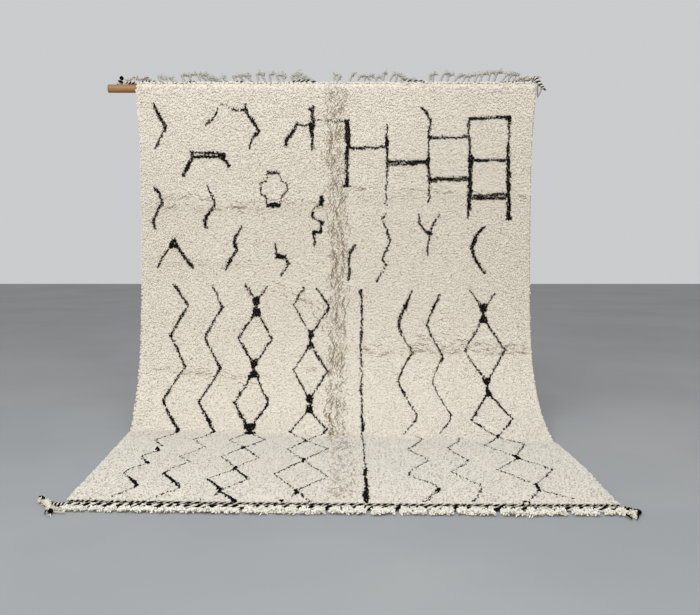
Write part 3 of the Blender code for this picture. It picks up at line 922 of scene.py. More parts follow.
@dataclass(frozen=True)
class Drawing:
    """Every black line of the rug, charted."""

    signs: tuple[Line, ...] = (
        # hooks and wavy strokes at the left, from the top down
        Line(((-91.5, 9, 1), (-90, 14, 1.3), (-86, 21, 1.3), (-89, 26.5, 0.7), (-92, 32, 0.7))),
        Line(((-59.5, 12.5, 0.8), (-61, 16, 1), (-66, 20.5, 0.9)), 0.9),
        Line(((-57.5, 9.5, 0.6), (-55, 10, 0.5), (-51.5, 12.5, 0.4)), 0.35),
        Line(((-52, 12.5, 0.9), (-45, 13, 0.9)), 0.75),
        Line(((-45.5, 10, 0.7), (-44.5, 14.5, 1.3), (-42, 18.5, 1.3), (-39, 23.5, 1.2), (-41.5, 25.5, 1.1),
              (-43.5, 29, 0.8), (-44.5, 32, 0.5))),
        Line(((-93.5, 52, 1.2), (-90.5, 55, 1.3), (-89, 60, 1.2), (-91.5, 63, 1.1), (-94, 69.5, 1.3),
              (-93, 73, 1.1))),
        Line(((-66, 51, 0.7), (-65, 54, 0.9), (-62.5, 58.5, 0.8), (-62.5, 61, 0.8), (-64.5, 64, 0.9),
              (-66.5, 66.5, 1.2), (-67.5, 69.5, 1.3), (-66.5, 72.5, 1.1))),
        Line(((-48.5, 72, 0.8), (-52, 77.5, 1), (-52.5, 80.5, 1.1), (-51, 83.5, 0.9), (-53, 87, 1.1),
              (-57, 94, 1))),
        Line(((-31.5, 80.5, 0.6), (-30.5, 86, 0.7))),
        Line(((-31, 87, 2.2), (-26.5, 87.5, 2))),
        Line(((-26, 88.5, 1.1), (-24.5, 91, 1), (-26, 93, 0.6), (-28.5, 97.5, 0.5)), 0.95),
        # the open tent
        Line(((-83.5, 78, 1.2), (-83.5, 80.5, 3.2), (-83.5, 82.5, 3.6))),
        Line(((-85, 82.5, 0.8), (-88.5, 86, 0.8), (-92, 93, 0.7))),
        Line(((-82, 82, 1), (-79, 86, 1.2), (-73.5, 93, 1.1))),
        # the low table
        Line(((-74, 34, 1), (-57, 35, 1))),
        Line(((-74, 36, 1), (-57, 36.5, 1))),
        Line(((-73.5, 34.5, 1.4), (-73.5, 36, 1.4))),
        Line(((-59.5, 35.5, 2), (-57, 35.5, 2.4))),
        Line(((-73.5, 37, 1.2), (-75.5, 40.5, 1.3), (-78.5, 46, 1.3))),
        Line(((-58.5, 37, 1.2), (-56, 39, 1.2), (-54.5, 41.5, 1))),
        # the stepped cross
        Line(((-35, 44.5, 0.9), (-29, 44.5, 0.9))),
        Line(((-35.5, 45, 0.5), (-36, 48.5, 0.6), (-39, 50, 0.6), (-39, 55, 0.6), (-36, 57, 0.6),
              (-35.5, 60.5, 0.6)), 0.9),
        Line(((-29, 45, 0.5), (-28, 48.5, 0.6), (-25, 50, 0.6), (-25, 53.5, 0.6), (-28, 56.5, 0.6),
              (-28.5, 60, 0.6)), 0.9),
        Line(((-35.5, 61, 1.9), (-29, 61, 1.9))),
        # the plough beside the middle
        Line(((-20, 19, 0.8), (-20, 20.5, 0.9), (-14, 20.5, 1))),
        Line(((-20.5, 21, 1.1), (-23, 25, 1.2), (-25, 27.5, 1.2), (-25.5, 30.5, 1))),
        Line(((-11.5, 10.5, 0.9), (-12, 12, 1.4))),
        Line(((-13.5, 12, 0.9), (-12, 13, 1.1), (-12, 16.5, 1.3), (-11.5, 18.5, 1.4), (-12.5, 20, 2.8),
              (-12.5, 22.5, 1.6), (-12, 27.5, 1.1), (-12.5, 33, 1.1))),
        Line(((-10.5, 18, 0.5), (5, 18.5, 0.5)), 0.7),
        Line(((-7.5, 56.5, 1.9), (-7.5, 60.5, 1.9))),
        Line(((-8.5, 60.5, 0.5), (-12, 63, 0.5)), 0.8),
        Line(((-12, 64.5, 1.2), (-12, 67.5, 1.2))),
        Line(((-12, 68, 0.5), (-8.5, 69, 0.6)), 0.8),
        Line(((-8.5, 69.5, 1), (-6.5, 69.5, 1))),
        Line(((-7.5, 70, 1.1), (-8, 74.5, 1.2))),
        Line(((-7, 74.5, 1.3), (-12, 75, 1.4))),
        Line(((-11.5, 76, 0.9), (-11.5, 79, 0.9), (-11.5, 82, 0.5))),
        # the ladder of open squares at the right
        Line(((5.5, 18, 1.9), (6, 30, 2), (5.5, 33, 1.5), (5.5, 45, 1.3), (5, 51, 1.4))),
        Line(((3.5, 51.5, 0.8), (7, 51.5, 0.8))),
        Line(((7, 32, 1), (25, 31.5, 0.9))),
        Line(((26, 20.5, 0.6), (25.5, 26, 0.6)), 0.85),
        Line(((25.5, 26.5, 1.4), (26, 34, 1.3), (26, 38, 0.9), (26, 41, 0.6), (25.5, 52, 0.6))),
        Line(((25.5, 53, 0.7), (25.5, 60.5, 0.6)), 0.6),
        Line(((26, 39, 0.9), (47, 38.5, 0.9))),
        Line(((26, 40.5, 0.8), (47, 39.5, 0.9)), 0.9),
        Line(((42.5, 11.5, 0.9), (44.5, 13, 1), (47.5, 18.5, 1), (47, 25.5, 0.7), (47.5, 26.5, 1.7),
              (47, 28, 0.6), (47, 35.5, 0.6), (47, 37.5, 1.5), (46.5, 40, 1.5), (47, 42, 1), (47.5, 45.5, 1),
              (47.5, 48, 1.6), (47.5, 50.5, 0.8))),
        Line(((47.5, 51, 0.6), (47.5, 59, 0.6)), 0.6),
        Line(((48, 27, 1), (57, 26.5, 0.7), (67.5, 26.5, 0.9))),
        Line(((48, 47.5, 0.9), (67.5, 47, 0.9))),
        Line(((48, 48.5, 0.8), (67.5, 48, 0.9)), 0.9),
        Line(((67, 16.5, 0.7), (67, 25.5, 0.7), (67.5, 27, 1), (68, 35, 1), (68.5, 37, 2.2),
              (68.5, 39.5, 1.8), (68.5, 45, 1.4), (68.5, 48.5, 2), (68.5, 52, 1.9), (68, 59.5, 1.7),
              (67.5, 67.5, 1))),
        Line(((67.5, 17, 1.6), (72, 17, 1.1), (82, 16.5, 1.2), (87.5, 16.5, 1.8))),
        Line(((70, 38, 1.4), (79, 38, 0.9), (87.5, 38, 1.3))),
        Line(((70, 56, 1), (87.5, 55.5, 1))),
        Line(((70, 57.5, 1), (87.5, 57, 1)), 0.95),
        Line(((87.5, 17, 1.5), (87.5, 21, 0.9), (87.5, 30, 0.9), (87.5, 34, 1.4), (88, 44, 1.8),
              (88, 55, 1.5), (88.5, 58, 1.7), (88.5, 68, 1.6))),
        # wavy strokes and the fork under the ladder
        Line(((25, 65.5, 0.6), (23.5, 68, 0.8), (27, 76.5, 0.9), (27.5, 79.5, 0.9), (23.5, 88.5, 0.8),
              (25.5, 91.5, 0.7), (20.5, 100.5, 0.6)), 0.9),
        Line(((42.5, 65.5, 0.7), (42.5, 70, 0.7), (46, 74.5, 0.9)), 0.9),
        Line(((53, 65.5, 0.7), (50, 70, 0.8), (48.5, 73.5, 0.8)), 0.9),
        Line(((46, 75, 1.8), (48.5, 75, 1.8))),
        Line(((47.5, 76, 0.8), (47, 86, 0.7))),
        Line(((76.5, 72, 0.8), (73.5, 74, 1.2), (70.5, 79.5, 1.4), (69.5, 82.5, 1.4), (71, 88, 1.2),
              (74, 93, 0.9), (76.5, 96, 0.8))),
        Line(((9.5, 81, 0.9), (6.5, 86, 1), (6.5, 89.5, 1), (6.5, 94, 0.7))),
        Line(((6.5, 94.5, 1), (6.5, 99, 1.2))),
    )
    zigzags: tuple[Line, ...] = (
        # bold stretches of the diamonds on the floor
        Line(((-42.5, 249, 1.6), (-40, 254, 1.7), (-36.5, 261, 1.5))),
        Line(((-51.5, 264, 1.5), (-48, 270, 1.6), (-46, 276, 1.9))),
        Line(((-44.5, 280, 1.6), (-41, 285, 1.5), (-39, 289.5, 1.6))),
        Line(((-83.5, 102, 1.6), (-79, 108, 1.1), (-76, 112.5, 1.2), (-80, 119.5, 1.3), (-84.5, 128, 1.2),
              (-80.5, 136.5, 1), (-76.5, 145, 1.1), (-82, 154.5, 1), (-86, 162.5, 1.3), (-82, 171, 1.4),
              (-77, 179, 1.2), (-76, 182.5, 1.3), (-78.5, 190.5, 1.1), (-82.5, 196.5, 0.7),
              (-84.5, 201.5, 1.2), (-80.5, 209, 1.2), (-78, 214, 1.1)), 0.95),
        Line(((-81, 214.5, 1.5), (-79.5, 221.5, 1.7))),
        Line(((-80, 221.5, 0.6), (-84.5, 230, 0.8)), 0.6),
        Line(((-84.5, 229.5, 1.1), (-83.5, 233.5, 1), (-81.5, 237.5, 1.6), (-80, 241, 1.7)), 0.9),
        Line(((-80, 241, 0.6), (-86, 250.5, 0.8), (-86.5, 256, 1.1), (-82.5, 263.5, 1.6), (-80, 267.5, 1.9),
              (-77.5, 273, 2.1), (-78.5, 276, 1)), 0.9),
        Line(((-78.5, 276.5, 0.6), (-84.5, 286.5, 0.6)), 0.6),
        Line(((-63.5, 102.5, 1.1), (-60.5, 108.5, 0.8), (-58.5, 113.5, 1.2), (-61.5, 118.5, 1.1),
              (-67, 129.5, 1.3), (-63, 137, 0.9), (-61.5, 141, 1.1), (-58.5, 145.5, 1.5), (-62.5, 153.5, 0.9),
              (-68, 164, 1.5), (-64, 171.5, 1.1), (-61, 177.5, 1.6), (-58.5, 183.5, 1.4),
              (-62, 192.5, 0.8)), 0.97),
        Line(((-62, 192.5, 0.6), (-66.5, 199, 0.7), (-60, 212.5, 0.9), (-64.5, 223.5, 0.7), (-68.5, 229.5, 1),
              (-63, 238.5, 0.9), (-70, 250.5, 0.8)), 0.75),
        Line(((-69.5, 251.5, 1.3), (-70.5, 256, 1.8), (-66.5, 263.5, 1.7), (-63.5, 269, 1.8),
              (-61, 274.5, 1.6))),
        Line(((-61, 275, 0.9), (-66.5, 283.5, 0.8), (-70, 289.5, 0.8)), 0.75),
        # the open top of the diamonds beside the middle
        Line(((-16.5, 103.5, 0.9), (-19, 107, 1), (-21.5, 112.5, 0.8)), 0.9),
        Line(((-10.5, 103.5, 0.9), (-7, 108, 1.2), (-4, 113.5, 1.7), (-5, 116, 1))),
        # the long line beside the middle
        Line(((12.5, 105, 1.4), (13, 110, 1.3), (13, 118, 1), (12.5, 125, 1.4), (12.5, 132, 1.2),
              (12.5, 137, 0.9)), 0.97),
        Line(((12.5, 138, 0.9), (13, 150, 1), (12.5, 158, 1.2), (13, 173, 0.9)), 0.85),
        Line(((12.5, 174, 1), (13, 183.5, 1.5), (12, 189, 1), (12, 196, 1), (11, 212, 0.9), (10.5, 226, 0.9),
              (10, 243, 1), (10, 249, 1.7), (9.5, 258, 1.4), (10, 268, 2), (9.5, 278, 1.9), (9, 283, 2.9),
              (9, 287, 2.4), (8.8, 290, 1.6))),
        # zigzags to the right of it
        Line(((39, 105, 1.2), (36.5, 110.5, 1.4), (35, 114, 2.2), (32.5, 119.5, 1.4), (32, 123.5, 1.4),
              (33.5, 128.5, 1), (36, 133, 0.7), (38.5, 137.5, 0.8), (35, 143.5, 0.8), (31, 153.5, 0.6),
              (32.5, 159, 0.8), (34, 161.5, 1.4)), 0.95),
        Line(((34, 162, 0.6), (37.5, 170.5, 0.5), (39.5, 175, 0.5), (38, 179.5, 0.7), (35, 184, 0.6),
              (32, 188.5, 1)), 0.8),
        Line(((37, 190.5, 0.6), (40, 195, 0.8), (36, 203.5, 0.9), (30, 215, 1.1), (33.5, 223, 0.8),
              (36.5, 230, 0.8), (36, 235, 0.8), (28.5, 247.5, 0.9), (27, 254, 1), (29, 259, 0.8),
              (35.5, 266.5, 0.8), (37, 272, 1.2)), 0.8),
        Line(((37, 272.5, 1.9), (36, 277.5, 1.8))),
        Line(((35.5, 278, 0.8), (32, 284, 1.1), (29.5, 290, 1.2)), 0.9),
        Line(((53, 107, 1.2), (51, 111.5, 1.4), (49, 115.5, 1.2), (46.5, 123, 1.1), (48, 127.5, 0.8),
              (51.5, 134.5, 0.9), (54.5, 140.5, 1.3), (52.5, 143.5, 0.8)), 0.95),
        Line(((52, 144, 0.5), (48, 153.5, 0.5), (51.5, 165, 0.5), (56, 176, 0.6), (54.5, 181, 0.6),
              (49, 188.5, 0.6)), 0.78),
        Line(((57, 193.5, 0.6), (55, 200.5, 0.9), (48, 211.5, 0.7), (50.5, 223.5, 0.7), (53.5, 232, 0.9),
              (51, 240, 1.1), (44, 250, 0.7), (53, 268.5, 0.7)), 0.75),
        Line(((53, 269, 0.9), (52.5, 275.5, 1.1), (50, 282.5, 0.7), (47, 289.5, 1)), 0.85),
    )
    columns: tuple[DiamondColumn, ...] = (
        DiamondColumn(
            (Crossing(-41, 108.5, 117.5, 3.8, 0.8), Crossing(-41.5, 141.5, 150.5, 4.6, 1.2),
             Crossing(-41.5, 178.5, 187.5, 5, 1.3)),
            ((-46.5, 102), (-50, 129.5), (-50, 165), (-50, 200)),
            ((-35.5, 103), (-33, 130), (-33, 165.5), (-33.5, 199.5)), 1.2, 1.1, 0.93, 0.95),
        DiamondColumn(
            (Crossing(-42.5, 211.5, 215, 2.2, 1.8), Crossing(-43, 244, 250, 1.9, 1.9),
             Crossing(-45, 275.5, 280.5, 1.9, 1.7)),
            ((-50, 200), (-50.5, 229.5), (-52, 262.5), (-47, 284)),
            ((-33.5, 199.5), (-34.5, 231), (-36, 262), (-38.5, 290.5)), 0.8, 0.9, 0.75, 0.8),
        DiamondColumn(
            (Crossing(-13, 126, 135, 3.6, 0.8), Crossing(-13, 161.5, 172, 3.4, 1.2),
             Crossing(-14.5, 197.5, 201, 2, 1.9), Crossing(-15.5, 231.5, 236, 2.2, 2.1),
             Crossing(-16.5, 275, 280, 2, 2.2)),
            ((-21.5, 112.5), (-21.5, 146.5), (-22, 184), (-23, 216), (-26.5, 255), (-18, 284)),
            ((-4, 114), (-4.5, 148), (-4.5, 183.5), (-5, 214), (-5, 258), (-11, 290)),
            0.85, 0.95, 0.85, 0.9),
        DiamondColumn(
            (Crossing(75.5, 112.5, 121.5, 4.4, 1.6), Crossing(75.5, 152.5, 163.5, 3.4, 0.9),
             Crossing(75, 192.5, 194.5, 1.9, 1.9), Crossing(75, 224.5, 230.5, 2.6, 3.6),
             Crossing(74.5, 266.5, 275.5, 1.8, 2)),
            ((69, 105), (65.5, 137), (65, 180), (65.5, 207), (63.5, 247), (67, 289.5)),
            ((81.5, 106.5), (86, 136.5), (85, 180), (84.5, 203.5), (86, 246), (84.5, 285.5)),
            0.9, 0.9, 0.85, 0.88),
    )
    front_spots: tuple[tuple[float, float, float], ...] = (
        (-38.6, 289.6, 1.6), (-21.6, 288.6, 2.0), (-11.2, 289.4, 1.8), (9.2, 289.6, 2.0), (29.4, 289.4, 1.6),
        (47.2, 289.2, 1.6), (66.4, 289.4, 2.0), (-50.0, 289.4, 1.2))
    knot_step: float = 0.72
    swell: float = 0.3
    swell_length: float = 0.007
    wobble: float = 0.0016
    sway: float = 0.0013
    stray: float = 0.0008
    bold: float = 0.0145
    floor_width: tuple[float, float] = (0.6, 0.72)
    floor_knot: tuple[float, float] = (0.9, 1.15)
    barb_from: float = 0.8
    barb_widths: tuple[float, float] = (0.005, 0.022)
    barb_reach: float = 0.0034

    def lines(self) -> list[Line]:
        """Every line of the drawing."""
        found = list(self.signs) + list(self.zigzags)
        for column in self.columns:
            found += column.lines()
        found += [Line(((x, s - 0.6, w), (x, s + 0.6, w))) for x, s, w in self.front_spots]
        return found

    def width(self, nominal: float, in_signs: bool, on_floor: bool, swell: float) -> float:
        """How wide a line is tied.

        Args:
            nominal: the width that the chart gives, in metres.
            in_signs: True for the signs near the top.
            on_floor: True on the part that lies on the floor, where the far lines look thinner.
            swell: chance from -1 to 1.

        Returns:
            The width in metres.
        """
        fine = 0.76 + 0.18 * min(max((nominal - 0.015) / 0.02, 0.0), 1.0)
        width = nominal * ((1.08 if in_signs else fine) + self.swell * swell)
        thin, bold = self.floor_width
        return width * ((bold if nominal >= self.bold else thin) if on_floor else 1.0)

    def knots(self, rng: Chance, pitch: float) -> Array:
        """The black knots that the lines are tied from.

        Args:
            rng: the source of chance.
            pitch: distance from knot to knot, in metres.

        Returns:
            Rows of x from the middle, along, and the knot's share of the full width, (n, 3).
        """
        found = []
        for line in self.lines():
            sway, barb = rng.normal(0, 1, 400), rng.uniform(0, 1, 400)
            swell = np.interp(np.arange(0, 400, 0.25), np.arange(400), rng.uniform(-1, 1, 400))
            done = 0.0
            for start, end in zip(line.turns, line.turns[1:]):
                start, end = np.asarray(start) / 100, np.asarray(end) / 100
                run = end - start
                length = float(np.hypot(run[0], run[1]))
                square = np.array([-run[1], run[0]]) / max(length, 1e-6)
                steps = max(int(round(length / (pitch * self.knot_step))), 1)
                for share in np.arange(steps + 1) / steps:
                    at = int((done + length * share) / self.swell_length)
                    wobble = square * swell[(at * 3 + 200) % 1600] * self.wobble
                    middle = start[:2] + run[:2] * share + wobble
                    nominal = start[2] + run[2] * share
                    on_floor, bold = middle[1] > FLOOR_PART, nominal >= self.bold
                    width = self.width(nominal, start[1] < 1.0, on_floor, swell[at % 1600])
                    if rng.random() > line.full and swell[at % 1600] < 0.2:
                        continue
                    rows = max(int(round(width / pitch)), 1)
                    for row in range(rows):
                        off = ((row + 0.5) / rows - 0.5) * width if rows > 1 else 0.0
                        spot = middle + square * off
                        level = int(round(spot[1] / pitch))
                        wide = min(width / rows / pitch, 1.15) + (0.0, 0.0, 0.1, 0.4)[min(rows, 3)]
                        if on_floor:
                            wide = max(wide, self.floor_knot[1]) if bold else min(wide, self.floor_knot[0])
                        found.append((spot[0] + self.sway * sway[level % 400], level * pitch, wide))
                    steep = abs(run[1]) > abs(run[0]) * 0.7
                    fits = self.barb_widths[0] < width < self.barb_widths[1]
                    if steep and fits and barb[at % 400] > self.barb_from:
                        side = -1.0 if barb[(at + 9) % 400] < 0.5 else 1.0
                        x = middle[0] + side * (width * 0.5 + self.barb_reach)
                        found.append((x, round(middle[1] / pitch) * pitch, 0.42))
                done += length
        found = np.asarray(found)
        cells = np.round(found[:, :2] / (pitch * 0.62, pitch)).astype(int)
        _, first = np.unique(cells, axis=0, return_index=True)
        found = found[np.sort(first)]
        found[:, :2] += rng.normal(0, self.stray, (len(found), 2))
        return found


# --- the woven ground ---


@dataclass
class ClothShell:
    """A closed shell that follows the cloth between two heights over its back, with rounded sides."""

    cloth: HungCloth
    columns: int = 61
    row_step: float = 0.025
    fine_step: float = 0.004
    fine_until: float = 0.06
    side_steps: int = 3

    def mesh(self, name: str, rows: Array, low: Array, high: Array, inset: float) -> JoinedMesh:
        """Builds the shell from rings round the cloth.

        Args:
            name: the piece's name.
            rows: places along the rug.
            low: height of its back face at each row.
            high: height of its front face at each row.
            inset: how far it stays inside the rug's side edges.

        Returns:
            The shell, whose fibre map is in metres.
        """
        margin = inset / RUG_WIDTH
        places = np.linspace(margin, 1 - margin, self.columns)
        across, along = np.meshgrid(places, rows, indexing="ij")
        ground = self.cloth.read(self.cloth.place, across, along)
        out = self.cloth.read(self.cloth.out, across, along)
        side = self.cloth.read(self.cloth.side, across, along)
        back, front = ground + out * low[None, :, None], ground + out * high[None, :, None]
        half = ((high - low) / 2)[:, None]
        turns = (np.arange(self.side_steps) + 1) * math.pi / (self.side_steps + 1)
        rounds = {}
        for edge, sign in ((0, -1.0), (-1, 1.0)):
            middle = (back[edge] + front[edge]) / 2
            rounds[edge] = [middle - out[edge] * half * math.cos(turn)
                            + side[edge] * sign * half * math.sin(turn) for turn in turns]
        ring = np.stack(list(back) + rounds[-1] + list(front[::-1]) + rounds[0][::-1], 1)
        size, steps, count = ring.shape[1], self.side_steps, self.columns
        row, at = np.meshgrid(np.arange(len(rows) - 1), np.arange(size), indexing="ij")
        after = (at + 1) % size
        walls = np.stack([row * size + at, (row + 1) * size + at, (row + 1) * size + after,
                          row * size + after], -1).reshape(-1, 4)
        cap = np.arange(count - 1)
        front_at = 2 * count + steps - 1 - np.arange(count)
        caps = np.stack([cap, cap + 1, front_at[cap + 1], front_at[cap]], -1)
        right = np.array([[count - 1, *range(count, count + steps), front_at[-1]]])
        left = np.array([[front_at[0], *range(2 * count + steps, size), 0]])
        last = (len(rows) - 1) * size
        faces = [walls, caps, right, left, caps[:, ::-1] + last, right[:, ::-1] + last, left[:, ::-1] + last]
        x = (places - 0.5) * RUG_WIDTH
        ring_x = np.concatenate([x, np.full(steps, x[-1] + 0.004), x[::-1], np.full(steps, x[0] - 0.004)])
        is_front = np.zeros(size, dtype=bool)
        is_front[count:2 * count + steps] = True
        flat_x = (ring_x + RUG_WIDTH / 2 + 0.01) / (RUG_WIDTH + 0.02) * 0.48 + np.where(is_front, 0.51, 0.01)
        flat_s = (rows - rows[0]) / (rows[-1] - rows[0]) * 0.98 + 0.01
        bake = np.stack([np.tile(flat_x, len(rows)), np.repeat(flat_s, size)], -1)
        metres = np.stack([np.tile(ring_x, len(rows)), np.repeat(rows, size)], -1)
        piece = JoinedMesh(name)
        piece.add(ring.reshape(-1, 3), faces, metres, bake, tip=0.45, tone=0.0)
        return piece


@dataclass
class GroundCloth(ClothShell):
    """The woven ground of the rug: pile part and flat-woven ends in one sheet, without its pile."""

    pile_ground: float = 0.0075
    inset: float = 0.004

    def build(self, material: Material) -> Object:
        """Builds the sheet.

        Args:
            material: the weave's material.

        Returns:
            The sheet.
        """
        top = np.arange(self.cloth.drape.top, self.fine_until, self.fine_step)
        middle = np.arange(top[-1] + self.row_step, PILE_LENGTH - 0.02, self.row_step)
        front = PILE_LENGTH + np.array([-0.012, -0.005, 0.0, 0.01, 0.02, FLAT_END])
        rows = np.concatenate([top, middle, front])
        near = np.minimum((rows + 0.004) / 0.012, (PILE_LENGTH - rows) / 0.012)
        high = FLAT_THICK + (self.pile_ground - FLAT_THICK) * np.clip(near, 0.0, 1.0)
        piece = self.mesh("rug_ground", rows, np.zeros(len(rows)), high, self.inset)
        sheet = piece.finish(material, Slot.PILE, "rug")
        sheet.data.uv_layers["fibre"].name = "cloth"
        return sheet


@dataclass
class PileBody(ClothShell):
    """The dense lower part of the pile, out of which the ends of its locks stand."""

    height: float = 0.014
    foot: float = 0.0052
    inset: float = 0.01

    def build(self, material: Material) -> Object:
        """Builds the body of the pile.

        Args:
            material: the cream wool.

        Returns:
            The piece.
        """
        top = np.arange(0.002, self.fine_until, self.fine_step)
        middle = np.arange(top[-1] + self.row_step, PILE_LENGTH - 0.03, self.row_step)
        rows = np.concatenate([top, middle, PILE_LENGTH + np.array([-0.02, -0.012, -0.006, -0.003])])
        near = np.minimum((rows + 0.001) / 0.01, (PILE_LENGTH - 0.001 - rows) / 0.014)
        high = self.foot + (self.height - self.foot) * np.sqrt(np.clip(near, 0.05, 1.0))
        return self.mesh("pile_body", rows, np.full(len(rows), self.foot), high, self.inset).finish(
            material, Slot.PILE)


# --- the pile ---


class Parting(NamedTuple):
    """A band where the pile parts into small lines: its ends, half width and bend in cm, and lines per m2."""

    x_from: float
    s_from: float
    x_to: float
    s_to: float
    half_width: float
    density: float
    strength: float
    bend: float = 1.2

    def axes(self) -> tuple[Array, Array, float]:
        """Where the band starts, the way it runs and its length, in metres."""
        ends = np.array([self.x_from, self.s_from, self.x_to, self.s_to]) / 100
        run = ends[2:] - ends[:2]
        length = float(np.hypot(*run))
        return ends[:2], run / length, length


@dataclass
class PartingShadeLines:
    """Fine wavy lines of dark wool laid where the locks part, down the middle and along the creases: painted
    shade for the shadowed depths of the partings, made thinner and paler on the part that lies on the floor.
    """

    cloth: HungCloth
    partings: tuple[Parting, ...] = (
        Parting(0, -2, 1, 102, 5.6, 3200, 1.0, 1.2),
        Parting(1, 102, 0.5, 186, 5.2, 3100, 1.0, 1.8),
        Parting(0.5, 186, 1.5, 292, 5.6, 1900, 0.25, 1.2),
        Parting(-6, 18, -5, 60, 2.6, 550, 0.5, 1.6),
        Parting(-5, 112, -3, 180, 3.0, 650, 0.55, 2.2),
        Parting(-97, 59, -50, 60.5, 4.5, 800, 1.0),
        Parting(-50, 60.5, -6, 61, 3.0, 600, 0.7),
        Parting(5, 54, 96, 56.5, 3.0, 500, 0.55),
        Parting(-97, 89, -48, 91, 2.5, 450, 0.45),
        Parting(-36, 100.5, -6, 114.5, 2.4, 800, 0.85),
        Parting(-14, 112, -5, 124, 2.6, 800, 0.7),
        Parting(12, 136.5, 46, 135, 3.6, 1300, 0.9),
        Parting(46, 135, 98, 136.5, 4.0, 1400, 1.0),
        Parting(-97, 145.5, -62, 148, 2.2, 1200, 0.9),
        Parting(-62, 148, -44, 152.5, 2.2, 900, 0.7),
        Parting(-19, 147.5, -7, 148.5, 3.6, 550, 0.5),
        Parting(20, 128.5, 60, 129, 2.0, 400, 0.4),
    )
    step: float = 0.0055
    height: float = 0.02
    half_width: float = 0.0011
    swing: tuple[float, float] = (0.0028, 0.0065)
    swing_length: tuple[float, float] = (0.026, 0.046)
    full_swing_from: float = 5.2
    bend_length: float = 0.09
    stray: float = 0.001
    rim: float = 0.015
    traces: list[Array] = field(default_factory=list)

    def draw(self) -> None:
        """Places the lines, each as rows of x from the middle and along."""
        rng = np.random.default_rng(57)
        for band in self.partings:
            start, run, length = band.axes()
            square = np.array([-run[1], run[0]])
            half = band.half_width / 100
            swing_share = min(band.half_width / self.full_swing_from, 1.0)
            sway = rng.uniform(-1, 1, int(length / self.bend_length) + 4)
            for _ in range(int(length * half * 2 * band.density)):
                at, off = rng.uniform(0.0, length), half * rng.uniform(-1.15, 1.15) * rng.uniform(0.5, 1.0)
                steps = int(rng.integers(4, 12))
                t = at + np.arange(steps) * self.step
                swing, wave = rng.uniform(*self.swing), rng.uniform(*self.swing_length)
                swing = swing * np.sin(t * TURN / wave + rng.uniform(0, 6))
                d = off + swing * swing_share + np.cumsum(rng.normal(0, self.stray, steps))
                d = d + band.bend / 100 * np.interp(t / self.bend_length, np.arange(len(sway)), sway)
                trace = start + t[:, None] * run + d[:, None] * square
                inside = (np.abs(trace[:, 0]) < RUG_WIDTH / 2 - self.rim) & (trace[:, 1] > 0.004)
                if (inside & (trace[:, 1] < PILE_LENGTH - self.rim)).all():
                    self.traces.append(trace)

    def places(self) -> Array:
        """Every place along the lines, (n, 2)."""
        return np.concatenate([smooth_path(trace, len(trace) * 3) for trace in self.traces])

    def build(self, material: Material) -> Object:
        """Builds the lines, half sunk between the tips of the locks.

        Args:
            material: the dark wool that paints the partings' shade.

        Returns:
            The piece.
        """
        piece, rng = JoinedMesh("parting_shade_wool"), np.random.default_rng(58)
        for trace in self.traces:
            # on the floor part the painted parting shade is made thinner and lighter, as the light from above
            # reaches into it
            across, pale = trace[:, 0] / RUG_WIDTH + 0.5, trace[0, 1] > FLOOR_PART
            out = unit(self.cloth.read(self.cloth.out, across, trace[:, 1]))
            path = self.cloth.read(self.cloth.place, across, trace[:, 1]) + out * self.height
            bell = np.sin(math.pi * (np.arange(len(path)) + 0.6) / (len(path) + 0.2))
            radii = self.half_width * (0.45 + 0.65 * bell) * rng.uniform(0.7, 1.15)
            radii *= 0.8 if pale else 1.0
            points, faces, fibre = tube_arrays(path, radii, 3, rng.uniform(0, 6))
            ends = np.concatenate([np.repeat(out, 3, axis=0), out[:1], out[-1:]])
            bake = np.stack([across[0] + fibre[:, 0] * 0.002, trace[0, 1] / 3 + fibre[:, 1]], -1)
            # painted shade: a dark tone in the partings of the hanging part, the light tip colour on the
            # floor part
            tip, tone = (1.0, 0.0) if pale else (0.55, rng.uniform(-0.5, 0.0))
            piece.add(points, faces, fibre, np.clip(bake, 0, 1), ends, tip=tip, tone=tone)
        return piece.finish(material, Slot.PILE)


class Knots(NamedTuple):
    """Knots of one colour: x from the middle, along, share of a full width, and how far they stand out."""

    x: Array
    s: Array
    share: Array
    proud: Array


